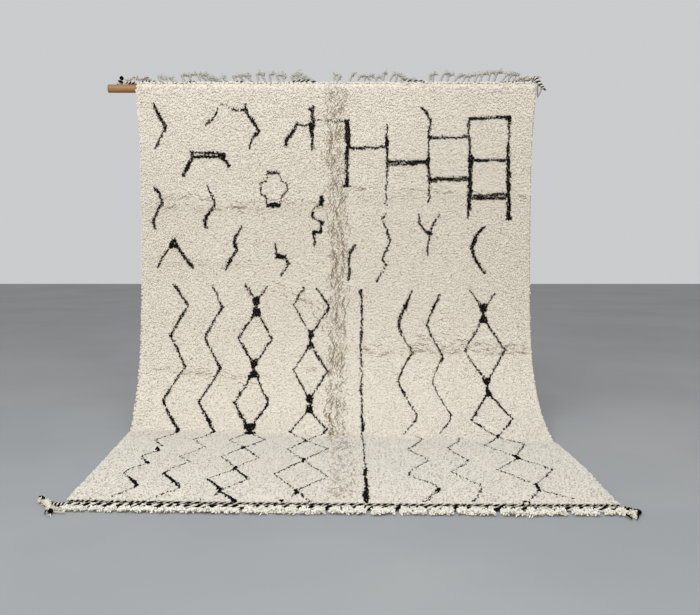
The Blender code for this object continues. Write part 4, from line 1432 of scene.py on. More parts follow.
@dataclass
class Pile:
    """The knotted pile: locks of wool that lean down the rug, gather in tufts and part along the creases."""

    cloth: HungCloth
    drawing: Drawing
    partings: PartingShadeLines
    knot_pitch: float = 0.0089
    row_pitch: float = 0.0089
    black_pitch: float = 0.0062
    black_proud: float = 0.0022
    lock_length: float = 0.014
    lock_width: float = 0.0074
    root_height: float = 0.008
    tuft_size: float = 0.024
    gather: float = 0.2
    swirl: tuple[float, float] = (0.0036, 0.0024)
    lean: float = 0.0026
    stray: tuple[float, float] = (0.0026, 0.0024)
    jitter: tuple[float, float] = (0.0026, 0.003)
    side_rim: float = 0.016
    front_rim: float = 0.014
    crest: float = 0.03
    crest_lean: float = 0.018
    cell: float = 0.0025
    bead: tuple[float, float] = (0.0046, 0.0026)
    bands: int = 4

    def gathered(self, x: Array, s: Array) -> tuple[Array, Array, Array]:
        """Which tuft each knot leans to.

        Args:
            x: x of the knots, from the rug's middle.
            s: their places along the rug.

        Returns:
            Steps to the tuft's middle across and along, and a number from -1 to 1 that the tuft has.
        """
        rng, size = np.random.default_rng(5), self.tuft_size
        cols, rows = int(2.4 / size) + 4, int(3.2 / size) + 4
        jitter = rng.uniform(-0.42, 0.42, (cols, rows, 2))
        own = rng.uniform(-1, 1, (cols, rows))
        at_x, at_s = (x + 1.15) / size, (s + 0.1) / size
        col, row = np.floor(at_x).astype(int), np.floor(at_s).astype(int)
        best = np.full(x.shape, 9e9)
        step_x, step_s, value = np.zeros(x.shape), np.zeros(x.shape), np.zeros(x.shape)
        for over, down in product((-1, 0, 1), repeat=2):
            c, r = np.clip(col + over, 0, cols - 1), np.clip(row + down, 0, rows - 1)
            dx = c + 0.5 + jitter[c, r, 0] - at_x
            ds = r + 0.5 + jitter[c, r, 1] - at_s
            far = dx * dx + ds * ds
            near = far < best
            best = np.where(near, far, best)
            step_x, step_s = np.where(near, dx * size, step_x), np.where(near, ds * size, step_s)
            value = np.where(near, own[c, r], value)
        return step_x, step_s, value

    def parted(self, x: Array, s: Array) -> Array:
        """How far each place is in a parting, from 0 to 1.

        Args:
            x: x of the knots, from the rug's middle.
            s: their places along the rug.

        Returns:
            The shares.
        """
        inside = np.zeros(x.shape)
        patchy = np.clip(0.7 + 1.3 * SmoothChance(71, 0.03).at(x, s), 0.0, 1.0)
        for band in self.partings.partings:
            start, run, length = band.axes()
            t = (x - start[0]) * run[0] + (s - start[1]) * run[1]
            d = (s - start[1]) * run[0] - (x - start[0]) * run[1]
            edge = np.clip(np.minimum(t + 0.02, length + 0.02 - t) / 0.05, 0.0, 1.0)
            mask = np.exp(-(d / band.half_width * 100) ** 4) * edge * band.strength
            inside = np.maximum(inside, mask * patchy)
        return inside

    def locks(self, knots: Knots, rng: Chance,
              gather: float) -> tuple[Array, list[Array], Array, Array, Array]:
        """Places the locks of some knots.

        Args:
            knots: the knots.
            rng: the source of chance.
            gather: how strongly the locks lean to their tuft.

        Returns:
            Lock points, face arrays, heights in the lock, the locks' tones and the way the pile faces there.
        """
        x, s, share, proud = knots
        count = len(x)
        place, side, down, out = self.cloth.axes(np.clip(x / RUG_WIDTH + 0.5, 0.0, 1.0), s)
        tuft_x, tuft_s, own = self.gathered(x, s)
        inside = self.parted(x, s)
        swirl_x, swirl_s, lie = (SmoothChance(seed, size).at(x, s)
                                 for seed, size in ((33, 0.03), (35, 0.026), (34, 0.3)))
        # a few locks are sunk a little and painted darker, as painted shade of small pits between the tufts
        speckled = np.clip(0.06 + 0.06 * SmoothChance(37, 0.16).at(x, s) + 0.05 * inside, 0.01, 0.2)
        pit = np.where(rng.random(count) < speckled, rng.uniform(0.3, 1.0, count), 0.0)
        free = 1.0 - np.minimum(inside, 1.0)
        lean_x = tuft_x * gather * free + self.swirl[0] * swirl_x + rng.normal(0, self.stray[0], count)
        lean_s = (self.lean * (1 + 0.3 * lie) * (0.4 + 0.6 * free) + tuft_s * gather * free
                  + self.swirl[1] * swirl_s + rng.normal(0, self.stray[1], count))
        edge = np.clip((np.abs(x) - (RUG_WIDTH / 2 - self.side_rim)) / self.side_rim, 0.0, 1.0)
        lean_x += np.sign(x) * edge * 0.0015
        lean_s -= np.clip((s - (PILE_LENGTH - self.front_rim)) / self.front_rim, 0.0, 1.0) * 0.003
        # at the crest over the pole the locks lean back, and their tone below carries painted shade there
        crest = np.clip((self.crest - s) / self.crest, 0.0, 1.0)
        lean_s -= crest * self.crest_lean
        length = self.lock_length * (1 + 0.05 * own + rng.normal(0, 0.06, count))
        length = (length + proud) * (1 - 0.16 * pit) * (1 - 0.42 * edge)
        flat = np.hypot(lean_x, lean_s)
        limit = np.minimum(flat, 0.8 * length) / np.maximum(flat, 1e-9)
        lean_x, lean_s, flat = lean_x * limit, lean_s * limit, flat * limit
        rise = np.minimum(np.sqrt(length ** 2 - flat ** 2), PILE_THICK + proud - self.root_height)
        root = place + out * self.root_height
        sideways = side * lean_x[:, None] + down * lean_s[:, None]
        middle = root + sideways * 0.55 + out * (rise * np.where(proud > 0, 0.8, 0.66))[:, None]
        tip = root + sideways + out * rise[:, None]
        width = self.lock_width * share * (1 + rng.normal(0, 0.08, count)) * (1 - 0.35 * pit)
        points, faces, heights = lock_arrays(root, middle, tip, width, rng)
        # tone: each tuft's and lock's own tone, plus painted shade in pits, in partings and at the crest
        tone = 0.03 * own + rng.normal(0, 0.03, count) - 0.85 * pit - 0.06 * inside - 0.22 * crest
        return points, faces, heights, tone, out

    def fill(self, name: str, knots: Knots, rng: Chance, gather: float) -> JoinedMesh:
        """Gathers locks into a piece.

        Args:
            name: the piece's name.
            knots: its knots.
            rng: the source of chance.
            gather: how strongly the locks lean to their tuft.

        Returns:
            The piece, still open to more shapes.
        """
        points, faces, heights, tone, out = self.locks(knots, rng, gather)
        x, s, count, corners = knots.x, knots.s, len(knots.x), len(heights)
        tall, round_it = np.tile(heights, (count, 1)), np.tile(LOCK_ROUND, (count, 1))
        fibre = [round_it + rng.uniform(0, 50, count)[:, None], tall + rng.uniform(0, 50, count)[:, None]]
        low, reach = s.min(), max(s.max() - s.min(), 0.1) + 0.02
        flat_x = (x / (RUG_WIDTH + 0.05) + 0.5)[:, None] + (round_it - 0.5) * BAKE_CELL
        flat_s = ((s - low + 0.005) / reach)[:, None] + (tall - 0.5) * BAKE_CELL * 2.2
        bake = np.clip(np.stack([flat_x, flat_s], -1), 0.0, 1.0)
        piece = JoinedMesh(name)
        piece.add(points.reshape(-1, 3), faces, np.stack(fibre, -1).reshape(-1, 2), bake.reshape(-1, 2),
                  np.repeat(out, corners, axis=0), tip=tall.ravel(), tone=np.repeat(tone, corners))
        return piece

    def cells(self, x: Array, s: Array) -> tuple[Array, Array]:
        """Columns and rows of places in the grid of taken cells."""
        return ((x + 1.1) / self.cell).astype(int), ((s + 0.1) / self.cell).astype(int)

    def taken(self, shown: Array) -> Array:
        """Where black knots and the painted parting shade lines leave no room for a cream knot.

        Args:
            shown: the black knots that show.

        Returns:
            The grid of cells.
        """
        grid = np.zeros((int(2.2 / self.cell), int(3.1 / self.cell)), dtype=bool)
        col, row = self.cells(shown[:, 0], shown[:, 1])
        reach = np.where(shown[:, 1] > FLOOR_PART, 0, np.where(shown[:, 2] > 0.8, 2, 1))
        for over, down in product(range(-3, 4), repeat=2):
            near = over * over + down * down <= reach * reach + 2
            grid[col[near] + over, row[near] + down] = True
        grid[self.cells(*self.partings.places().T)] = True
        return grid

    def cream_knots(self, taken: Array, rng: Chance) -> tuple[Array, Array]:
        """Places the cream knots in rows.

        Args:
            taken: the grid of cells without room.
            rng: the source of chance.

        Returns:
            Their x from the middle and their places along.
        """
        half = RUG_WIDTH / 2
        columns = np.arange(-half + 0.004, half - 0.003, self.knot_pitch)
        rows = np.arange(0.003, PILE_LENGTH - 0.003, self.row_pitch)
        x, s = (grid.ravel() for grid in np.meshgrid(columns, rows, indexing="ij"))
        x = np.clip(x + rng.normal(0, self.jitter[0], len(x)), -half + 0.003, half - 0.003)
        s = np.clip(s + rng.normal(0, self.jitter[1], len(s)), 0.001, PILE_LENGTH - 0.002)
        free = ~taken[self.cells(x, s)]
        return x[free], s[free]

    def build(self, cream: Material, black: Material) -> list[Object]:
        """Ties every knot of the rug.

        Args:
            cream: material of the cream wool.
            black: material of the black wool.

        Returns:
            The pile's pieces, cream ones first.
        """
        rng = np.random.default_rng(11)
        knots = self.drawing.knots(rng, self.black_pitch)
        knots = knots[(np.abs(knots[:, 0]) < RUG_WIDTH / 2 - 0.004) & (knots[:, 1] < PILE_LENGTH - 0.003)]
        hidden = (knots[:, 1] > FLOOR_PART) & (knots[:, 2] < 0.95)
        x, s = self.cream_knots(self.taken(knots[~hidden]), rng)
        made = []
        order = np.clip((s / PILE_LENGTH * self.bands).astype(int), 0, self.bands - 1)
        for band in range(self.bands):
            mine = order == band
            ones = np.ones(int(mine.sum()))
            tied = Knots(x[mine], s[mine], ones, ones * 0.0)
            piece = self.fill(f"pile_cream_{band + 1}", tied, rng, self.gather)
            made.append(piece.finish(cream, Slot.PILE))
        share, proud = 0.13 + 0.54 * knots[:, 2], np.where(hidden, 0.0006, self.black_proud)
        drawn = Knots(knots[:, 0], knots[:, 1], np.where(hidden, 0.56, share), proud)
        made.append(self.fill("pile_black", drawn, rng, 0.0).finish(black, Slot.PILE))
        made.append(self.back_knots(drawn, rng).finish(black, Slot.PILE))
        return made

    def back_knots(self, knots: Knots, rng: Chance) -> JoinedMesh:
        """Shows the black knots on the rug's back, as small low beads between the wefts.

        Args:
            knots: the black knots.
            rng: the source of chance.

        Returns:
            The piece, still open to more shapes.
        """
        across, count = knots.x / RUG_WIDTH + 0.5, len(knots.x)
        row = np.round(knots.s / self.row_pitch) * self.row_pitch + rng.normal(0, 0.0004, count)
        place, side, down, out = self.cloth.axes(across, row)
        points = np.empty((count, 4, 3))
        for index, (a, b) in enumerate(((-1.0, -0.8), (1.0, -0.8), (0.0, 1.2))):
            points[:, index] = place + side * (a * self.bead[0]) + down * (b * self.bead[1]) + out * 0.0006
        points[:, 3] = place - out * 0.0012
        base = (np.arange(count) * 4)[:, None]
        faces = [base + np.array([face]) for face in ([1, 0, 3], [2, 1, 3], [0, 2, 3], [0, 1, 2])]
        fibre = np.tile([[0.0, 0.0], [1.0, 0.0], [0.5, 1.0], [0.5, 0.5]], (count, 1))
        flat = np.clip(np.stack([across, knots.s / (PILE_LENGTH + 0.01)], -1), 0, 1)
        bake = np.repeat(flat, 4, axis=0) * 0.99 + fibre * 0.004
        piece = JoinedMesh("knot_backs_black")
        tone = np.repeat(rng.normal(0, 0.3, count), 4)
        piece.add(points.reshape(-1, 3), faces, fibre, bake, tip=0.7, tone=tone)
        return piece


# --- twined rows ---


@dataclass
class TwinedRow:
    """Two plies, one black and one cream, twined along the edge of the rug."""

    name: str
    radius: float
    pitch: float
    sides: int
    steps_per_turn: int
    stands_for: str
    plies: tuple[Ply, ...] = STRIPED
    free: tuple[float, float] = (0.0, 0.0)
    tight: float = 0.0118
    uneven: float = 0.12

    def add_plies(self, piece: JoinedMesh, path: Array, rng: Chance) -> None:
        """Twines the plies along a path.

        Args:
            piece: the piece that takes them.
            path: the row's middle line.
            rng: the source of chance.
        """
        lengths = lengths_along(path)
        fine = np.linspace(0, lengths[-1], 6000)
        rate = (1 + self.uneven * wander(fine, lengths[-1], 0.03, rng)) / self.pitch
        rate = np.where((fine < self.free[0]) | (fine > lengths[-1] - self.free[1]), 1 / self.tight, rate)
        done = np.concatenate([[0.0], np.cumsum((rate[1:] + rate[:-1]) / 2 * np.diff(fine))])
        count = max(int(done[-1] * self.steps_per_turn), 8)
        turns = np.linspace(0, done[-1], count)
        even = np.interp(turns, done, fine)
        path = np.stack([np.interp(even, lengths, path[:, axis]) for axis in range(3)], -1)
        _, first, second = turning_axes(path)
        for number, ply in enumerate(self.plies):
            turn = -TURN * (turns + number / len(self.plies))
            off = self.radius * 0.5
            middle = path + off * (first * np.cos(turn)[:, None] + second * np.sin(turn)[:, None])
            wide = 0.66 if ply is Ply.BLACK else 0.52
            swell = wander(even, lengths[-1], 0.02, rng) * self.uneven * 0.7
            thick = self.radius * wide * (1 + swell + rng.normal(0, 0.04, count))
            points, faces, fibre = tube_arrays(middle, thick, self.sides)
            bake = [fibre[:, 0] * 0.45 + number * 0.5, fibre[:, 1] / max(fibre[:, 1].max(), 0.01)]
            piece.add(points, faces, fibre, np.stack(bake, -1), dark=ply.value, tone=0.0)

    def build(self, path: Array, material: Material, seed: int) -> Object:
        """Builds the row.

        Args:
            path: its middle line.
            material: the yarn's material.
            seed: seed of its unevenness.

        Returns:
            The row.
        """
        piece = JoinedMesh(self.name)
        self.add_plies(piece, path, np.random.default_rng(seed))
        return piece.finish(material, Slot.TWINED, self.stands_for)


@dataclass
class EdgeRows:
    """Both twined rows at each end of the rug."""

    cloth: HungCloth
    inner: float = 0.006
    outer: float = 0.009
    inner_angle: float = math.radians(58)
    outer_angle: float = math.radians(106)
    front_left_end: tuple[float, float] = (0.05, -0.006)
    front_right_end: tuple[float, float] = (0.034, 0.034)
    top_left_end: float = 0.048
    straight: float = 0.012
    lifts: tuple[tuple[float, float, float], ...] = (
        (-0.165, 0.07, 0.0165), (-0.5, 0.03, 0.011), (-0.742, 0.022, 0.0125), (0.4, 0.07, 0.0165),
        (-0.96, 0.05, 0.013), (0.9, 0.06, 0.01))

    def front_inner(self) -> Array:
        """Middle line of the thin row at the pile's front end."""
        height = FLAT_THICK + GAP + self.inner / 2 + 0.0035
        return self.cloth.front_edge(np.linspace(0.004, 0.996, 300), self.inner / 2 + 2 * GAP, height)

    def front_outer(self) -> Array:
        """Middle line of the thick row along the front edge, with its free ends."""
        path = self.cloth.front_edge(np.linspace(0, 1, 300), FLAT_END + self.outer / 2 - 0.001, 0.0084)
        left, right = path[0], path[-1]
        out_left, out_right = self.front_left_end, self.front_right_end
        before = [left + (-out_left[0], -out_left[1], 0), left + (-self.straight * 1.6, 0, 0), left]
        after = [right, right + (self.straight, 0, 0), right + (out_right[0], -out_right[1], 0)]
        return np.vstack([smooth_path(before, 14)[:-1], path, smooth_path(after, 14)[1:]])

    def top_line(self, angle: float, radius: float, inset: float, lift_share: float) -> Array:
        """Middle line of a row on the pole.

        Args:
            angle: where it lies on the pole.
            radius: its distance from the pole's axis.
            inset: how far it ends inside the rug's edges.
            lift_share: how far it follows the lifted stretches of the top edge.

        Returns:
            The line's points.
        """
        y, z = self.cloth.on_pole(angle, radius)
        half = RUG_WIDTH / 2 + self.cloth.drape.top_flare - inset
        x = np.linspace(-half, half, 400)
        lift = sum(height * np.exp(-((x - at) / reach) ** 4) for at, reach, height in self.lifts)
        return np.stack([x, np.full(400, y), z + lift_share * lift], -1)

    def build(self, material: Material) -> dict[str, Object]:
        """Builds the four rows.

        Args:
            material: the yarn's material.

        Returns:
            The rows by name.
        """
        radius = self.cloth.drape.back_radius
        top_inner = self.top_line(self.inner_angle, radius + FLAT_THICK + GAP + 0.0024, self.inner, 0.2)
        top_outer = self.top_line(self.outer_angle, POLE_RADIUS + GAP + self.outer / 2, 0.0, 1.0)
        last = top_outer[0]
        end = [last + (-self.top_left_end, 0, 0), last + (-0.02, 0, 0), last]
        top_outer = np.vstack([smooth_path(end, 14)[:-1], top_outer])
        black, cream = Ply.BLACK, Ply.CREAM
        rows = (
            (TwinedRow("twined_front_inner", 0.0034, 0.024, 4, 6, "cord_front_inner", (black, black, cream),
                       uneven=0.5), self.front_inner()),
            (TwinedRow("twined_front_outer", 0.0074, 0.04, 6, 10, "cord_front_outer", free=(0.062, 0.055),
                       tight=0.013, uneven=0.55), self.front_outer()),
            (TwinedRow("twined_top_inner", 0.0021, 0.022, 4, 6, "cord_top_inner", (cream, black, cream),
                       uneven=0.6), top_inner),
            (TwinedRow("twined_top_outer", self.outer / 2, 0.022, 6, 8, "cord_top_outer", free=(0.055, 0.0),
                       tight=0.013, uneven=0.45), top_outer),
        )
        return {row.name: row.build(path, material, 40 + number) for number, (row, path) in enumerate(rows)}


# --- fringes and tails ---


def sideways(run: Array) -> Array:
    """A direction across a run, level unless the run is steep."""
    guide = np.array([0.0, 0.0, 1.0]) if abs(run[2]) < 0.8 else np.array([0.0, 1.0, 0.0])
    return unit(np.cross(run, guide))


class YarnWork:
    """The yarns, knots, tufts and curls of one piece, with places given from a point of its own."""

    def __init__(self, name: str, seed: int, at: Sequence[float] = (0.0, 0.0, 0.0),
                 floor: float | None = None) -> None:
        """Starts with an empty piece.

        Args:
            name: the piece's name.
            seed: seed of its unevenness.
            at: the point that its places are given from.
            floor: height that loose ends can't sink under, or None.
        """
        self.piece, self.rng = JoinedMesh(name), np.random.default_rng(seed)
        self.at, self.floor = np.array(at, dtype=float), floor

    def path(self, stops: Stops, steps: int) -> Array:
        """A smooth line through stops, with the radius at each of its points."""
        return smooth_path([(*(self.at + stop[:3]), stop[3]) for stop in stops], steps)

    def tube(self, path: Array, radii: Array, sides: int, dark: float, tone: float, repeats: float = 4.0,
             start_turn: float = 0.0, fibre_start: float = 0.0) -> None:
        """One tube of yarn.

        Args:
            path: the points of its middle line.
            radii: its radius at each point.
            sides: sides round it.
            dark: 0 for cream and 1 for black.
            tone: how light or dark the wool is.
            repeats: how often its flat map starts anew in a metre.
            start_turn: angle of its first side.
            fibre_start: where its fibres start along it.
        """
        points, faces, fibre = tube_arrays(path, radii, sides, start_turn)
        bake = np.stack([0.05 + 0.9 * fibre[:, 0], np.mod(fibre[:, 1] * repeats, 1.0)], -1)
        self.piece.add(points, faces, fibre + [0.0, fibre_start], bake, dark=dark, tone=tone)

    def yarn(self, stops: Stops, steps: int, sides: int = 5, dark: float = 1.0, tone: float = 0.0,
             fuzz: float = 0.06) -> None:
        """One yarn.

        Args:
            stops: x, y, z and radius of each of its stops.
            steps: rings along it.
            sides: sides round it.
            dark: 0 for cream and 1 for black.
            tone: how light or dark the wool is.
            fuzz: unevenness of its thickness.
        """
        line = self.path(stops, steps)
        radii = np.maximum(line[:, 3] * (1 + self.rng.normal(0, fuzz, steps)), 0.0006)
        self.tube(line[:, :3], radii, sides, dark, tone, start_turn=self.rng.uniform(0, 6),
                  fibre_start=self.rng.uniform(0, 9))

    def twist(self, stops: Stops, pitch: float, sides: int = 5, per_turn: int = 8, tone: float = 0.0,
              plies: Sequence[Ply] = (Ply.CREAM, Ply.CREAM)) -> None:
        """A twisted cord.

        Args:
            stops: x, y, z and the cord's radius at each of its stops.
            pitch: length of one full turn of the twist.
            sides: sides of each ply.
            per_turn: rings for each full turn.
            tone: how light or dark the wool is.
            plies: the colours of its plies.
        """
        length = float(np.linalg.norm(np.diff(self.path(stops, 40)[:, :3], axis=0), axis=1).sum())
        steps = max(int(length / pitch * per_turn), 8)
        line = self.path(stops, steps)
        _, first, second = turning_axes(line[:, :3])
        where, off = np.linspace(0, length, steps), line[:, 3:4] * 0.5
        for number, ply in enumerate(plies):
            turn = -TURN * (where / pitch + number / len(plies))
            middle = line[:, :3] + off * (first * np.cos(turn)[:, None] + second * np.sin(turn)[:, None])
            radii = line[:, 3] * 0.55 * (1 + self.rng.normal(0, 0.05, steps))
            self.tube(middle, radii, sides, ply.value, tone)

    def knot(self, middle: Sequence[float], run: Sequence[float], size: float, loops: int = 4,
             dark: float = 1.0, tone: float = 0.0) -> None:
        """A knot: loops of yarn wound over each other.

        Args:
            middle: its middle.
            run: direction of the cord through it.
            size: its radius.
            loops: number of loops.
            dark: 0 for cream and 1 for black.
            tone: how light or dark the wool is.
        """
        middle, run = self.at + middle, unit(np.asarray(run, dtype=float))
        first = sideways(run)
        second = np.cross(run, first)
        turns = np.linspace(0, TURN, 15)
        for loop in range(loops):
            step = loop - (loops - 1) / 2
            tilt = step * 0.75 + self.rng.normal(0, 0.12)
            axis = unit(run * math.cos(tilt) + first * math.sin(tilt) * (1 if loop % 2 else -1))
            one = unit(np.cross(axis, second))
            two = np.cross(axis, one)
            path = middle + size * 0.62 * (one * np.cos(turns)[:, None] + two * np.sin(turns)[:, None])
            self.tube(path + run * (step * size * 0.35), np.full(15, size * 0.42), 6, dark, tone, 8.0)

    def tuft(self, start: Sequence[float], run: Sequence[float], length: float, spread: float, yarns: int,
             thick: float, tone: float, sides: int = 5, steps: int = 5) -> None:
        """Cut cream ends that splay from a knot.

        Args:
            start: where they leave the knot.
            run: the way they point.
            length: their length.
            spread: how far they splay, as a share of the length.
            yarns: number of ends.
            thick: radius of an end.
            tone: how light or dark the wool is.
            sides: sides of each end.
            steps: rings of each end.
        """
        start, run = np.asarray(start, dtype=float), unit(np.asarray(run, dtype=float))
        first = sideways(run)
        second = np.cross(first, run)
        for number in range(yarns):
            fan = (number + 0.5) / yarns * 2 - 1
            way = first * fan * spread + second * self.rng.normal(0, 0.45) * spread
            own = length * (1 - 0.25 * abs(fan)) * (1 + self.rng.normal(0, 0.1))
            curl = self.rng.normal(0, 0.22, 3) * own
            stops = []
            for share, out in ((0.0, 0.1), (0.35, 0.45), (0.7, 0.95), (1.0, 1.15)):
                spot = start + run * own * share + way * own * out + curl * share ** 2
                radius = thick * (0.75 + 0.5 * math.sin(math.pi * min(share + 0.15, 1.0)))
                if self.floor is not None:
                    spot[2] = max(spot[2], self.floor - self.at[2] + radius * 1.05)
                stops.append((*spot, radius * (0.6 if share == 1.0 else 1.0)))
            self.yarn(stops, steps, sides, 0.0, tone + self.rng.normal(0, 0.25), 0.1)

    def fuzz(self, stops: Stops, count: int, stray: float, tone: float = 0.1) -> None:
        """Loose curls along a cord.

        Args:
            stops: the cord's stops.
            count: number of curls.
            stray: how far they stray from its middle.
            tone: how light or dark they are.
        """
        places = self.path(stops, 40)[self.rng.integers(0, 40, count), :3]
        places = places + self.rng.normal(0, stray * 0.5, (count, 3))
        if self.floor is not None:
            places[:, 2] = np.maximum(places[:, 2], self.floor + 0.003)
        self.fluff(places, self.rng.normal(0, 1, (count, 3)), 0.011, 0.003, tone)

    def fluff(self, places: Array, ways: Array, length: float, width: float, tone: float) -> None:
        """Small curls of loose cream fibre.

        Args:
            places: where they start, (n, 3).
            ways: the way each points.
            length: their length.
            width: half their thickness.
            tone: how light or dark the wool is.
        """
        count = len(places)
        reach = unit(ways) * (length * self.rng.uniform(0.7, 1.25, count))[:, None]
        bend = self.rng.normal(0, length * 0.16, (count, 3))
        middle, tip = places + reach * 0.5 + bend, places + reach
        wide = width * self.rng.uniform(0.75, 1.25, count)
        if self.floor is not None:
            middle[:, 2] = np.maximum(middle[:, 2], self.floor + wide)
            tip[:, 2] = np.maximum(tip[:, 2], self.floor + wide * 0.6)
        points, faces, heights = lock_arrays(places, middle, tip, wide, self.rng)
        start = self.rng.uniform(0, 30, (count, 1))
        fibre = np.stack([np.tile(LOCK_ROUND, (count, 1)), start + heights * length * 2], -1)
        bake = np.mod(fibre, 1.0) * 0.96 + 0.02
        tones = np.repeat(tone + self.rng.normal(0, 0.14, count), len(heights))
        facing = np.tile((0.0, -0.6, 0.8), (count * len(heights), 1))
        self.piece.add(points.reshape(-1, 3), faces, fibre.reshape(-1, 2), bake.reshape(-1, 2), facing,
                       dark=0.0, tone=tones)


@dataclass
class FrontFringe:
    """The knotted tassels of the front edge, which lie on the floor, and the warps across the flat strip."""

    cloth: HungCloth
    tassels: int = 40
    length: float = 0.06
    row_thick: float = 0.009
    knot_size: float = 0.0048
    knot_off: float = 0.01
    yarns: int = 6
    yarn_radius: float = 0.004
    curls: int = 84
    curl: tuple[float, float] = (0.008, 0.004)
    warps: int = 4
    warp_radius: float = 0.0034
    warp_line: tuple[tuple[float, float], ...] = ((0.0075, 0.0066), (0.017, 0.0068), (0.0265, 0.0066))

    def build(self, material: Material) -> Object:
        """Builds the warps and the tassels.

        Args:
            material: the yarn's material.

        Returns:
            The fringe.
        """
        work = YarnWork("tassels_front", 61, floor=FLOOR)
        for number in range(self.tassels * self.warps):
            self.warp(work, (number + 0.5) / self.tassels / self.warps)
        for number in range(self.tassels):
            self.tassel(work, (number + 0.5) / self.tassels + work.rng.normal(0, 0.0016))
        return work.piece.finish(material, Slot.FRINGE, "fringe_front")

    def warp(self, work: YarnWork, across: float) -> None:
        """Lays a warp across the flat strip.

        Args:
            work: the yarns of the fringe.
            across: the warp's place.
        """
        edge = self.cloth.front_edge(np.array([across]), 0.0, 0.0)[0]
        stops = [(edge[0] + sway, edge[1] - past, FLOOR + high, self.warp_radius)
                 for sway, (past, high) in zip(work.rng.normal(0, 0.0012, 3), self.warp_line)]
        work.yarn(stops, 4, 4, 0.0, work.rng.normal(0.0, 0.15), 0.12)

    def tassel(self, work: YarnWork, across: float) -> None:
        """Knots a tassel: its legs, its knot, its cut ends and the loose curls round them.

        Args:
            work: the yarns of the fringe.
            across: the tassel's place.
        """
        rng = work.rng
        root = self.cloth.front_edge(np.array([across]), FLAT_END + GAP + self.row_thick + GAP, 0.0)[0]
        run = unit(np.array([rng.normal(0, 0.16), -1.0, 0.0]))
        side = np.array([-run[1], run[0], 0.0])
        tone, full = rng.normal(0.05, 0.1), rng.uniform(0.75, 1.15)
        reach = self.length * rng.uniform(0.86, 1.04)
        knot = root + run * self.knot_off + (0, 0, self.knot_size)
        for off in (-1, -0.33, 0.33, 1):
            work.yarn(((root[0] + off * 0.016, root[1] + 0.002, FLOOR + 0.0034, 0.0028),
                       (root[0] + off * 0.01, root[1] - 0.006, FLOOR + 0.004, 0.0032),
                       (*(knot + (off * 0.002, 0.002, -0.001)), 0.003)), 5, 5, 0.0, tone)
        work.knot(knot, run, self.knot_size, 2, 0.0, tone)
        work.tuft(knot + run * 0.003, run, reach - 0.024, 0.42 * full, self.yarns, self.yarn_radius, tone,
                  steps=6)
        over = 0.015 * min(max((across - 0.26) / 0.1, 0.15), 1.0) * rng.uniform(0.1, 1.0)
        share = rng.uniform(0.0, 1.0, self.curls) ** 0.8
        fan = rng.uniform(-1, 1, self.curls)
        wide = (0.011 + 0.013 * np.sqrt(share)) * full
        high = (0.0025 + 0.0125 * np.clip(share * 1.7, 0.0, 1.0)) * np.sqrt(1 - 0.8 * fan ** 2)
        high += over * 1.2 * (1 - share) ** 2
        places = knot + run * ((reach - 0.018 + over) * share + 0.001 - over)[:, None]
        places += side * (fan * wide)[:, None]
        places[:, 2] = FLOOR + 0.003 + high * rng.uniform(0.35, 0.85, self.curls)
        ways = run * rng.uniform(-0.2, 0.9, self.curls)[:, None] + side * (fan * 0.6)[:, None]
        ways = ways + rng.normal(0, 0.6, (self.curls, 3)) + (0.0, 0.0, 0.3)
        work.fluff(places, ways, *self.curl, tone)


class Strand(NamedTuple):
    """A strand of the top edge, in cm: foot and bend from the middle, rise, hook to the side and its drop."""

    foot: float
    bend: float
    rise: float
    hook: float
    drop: float


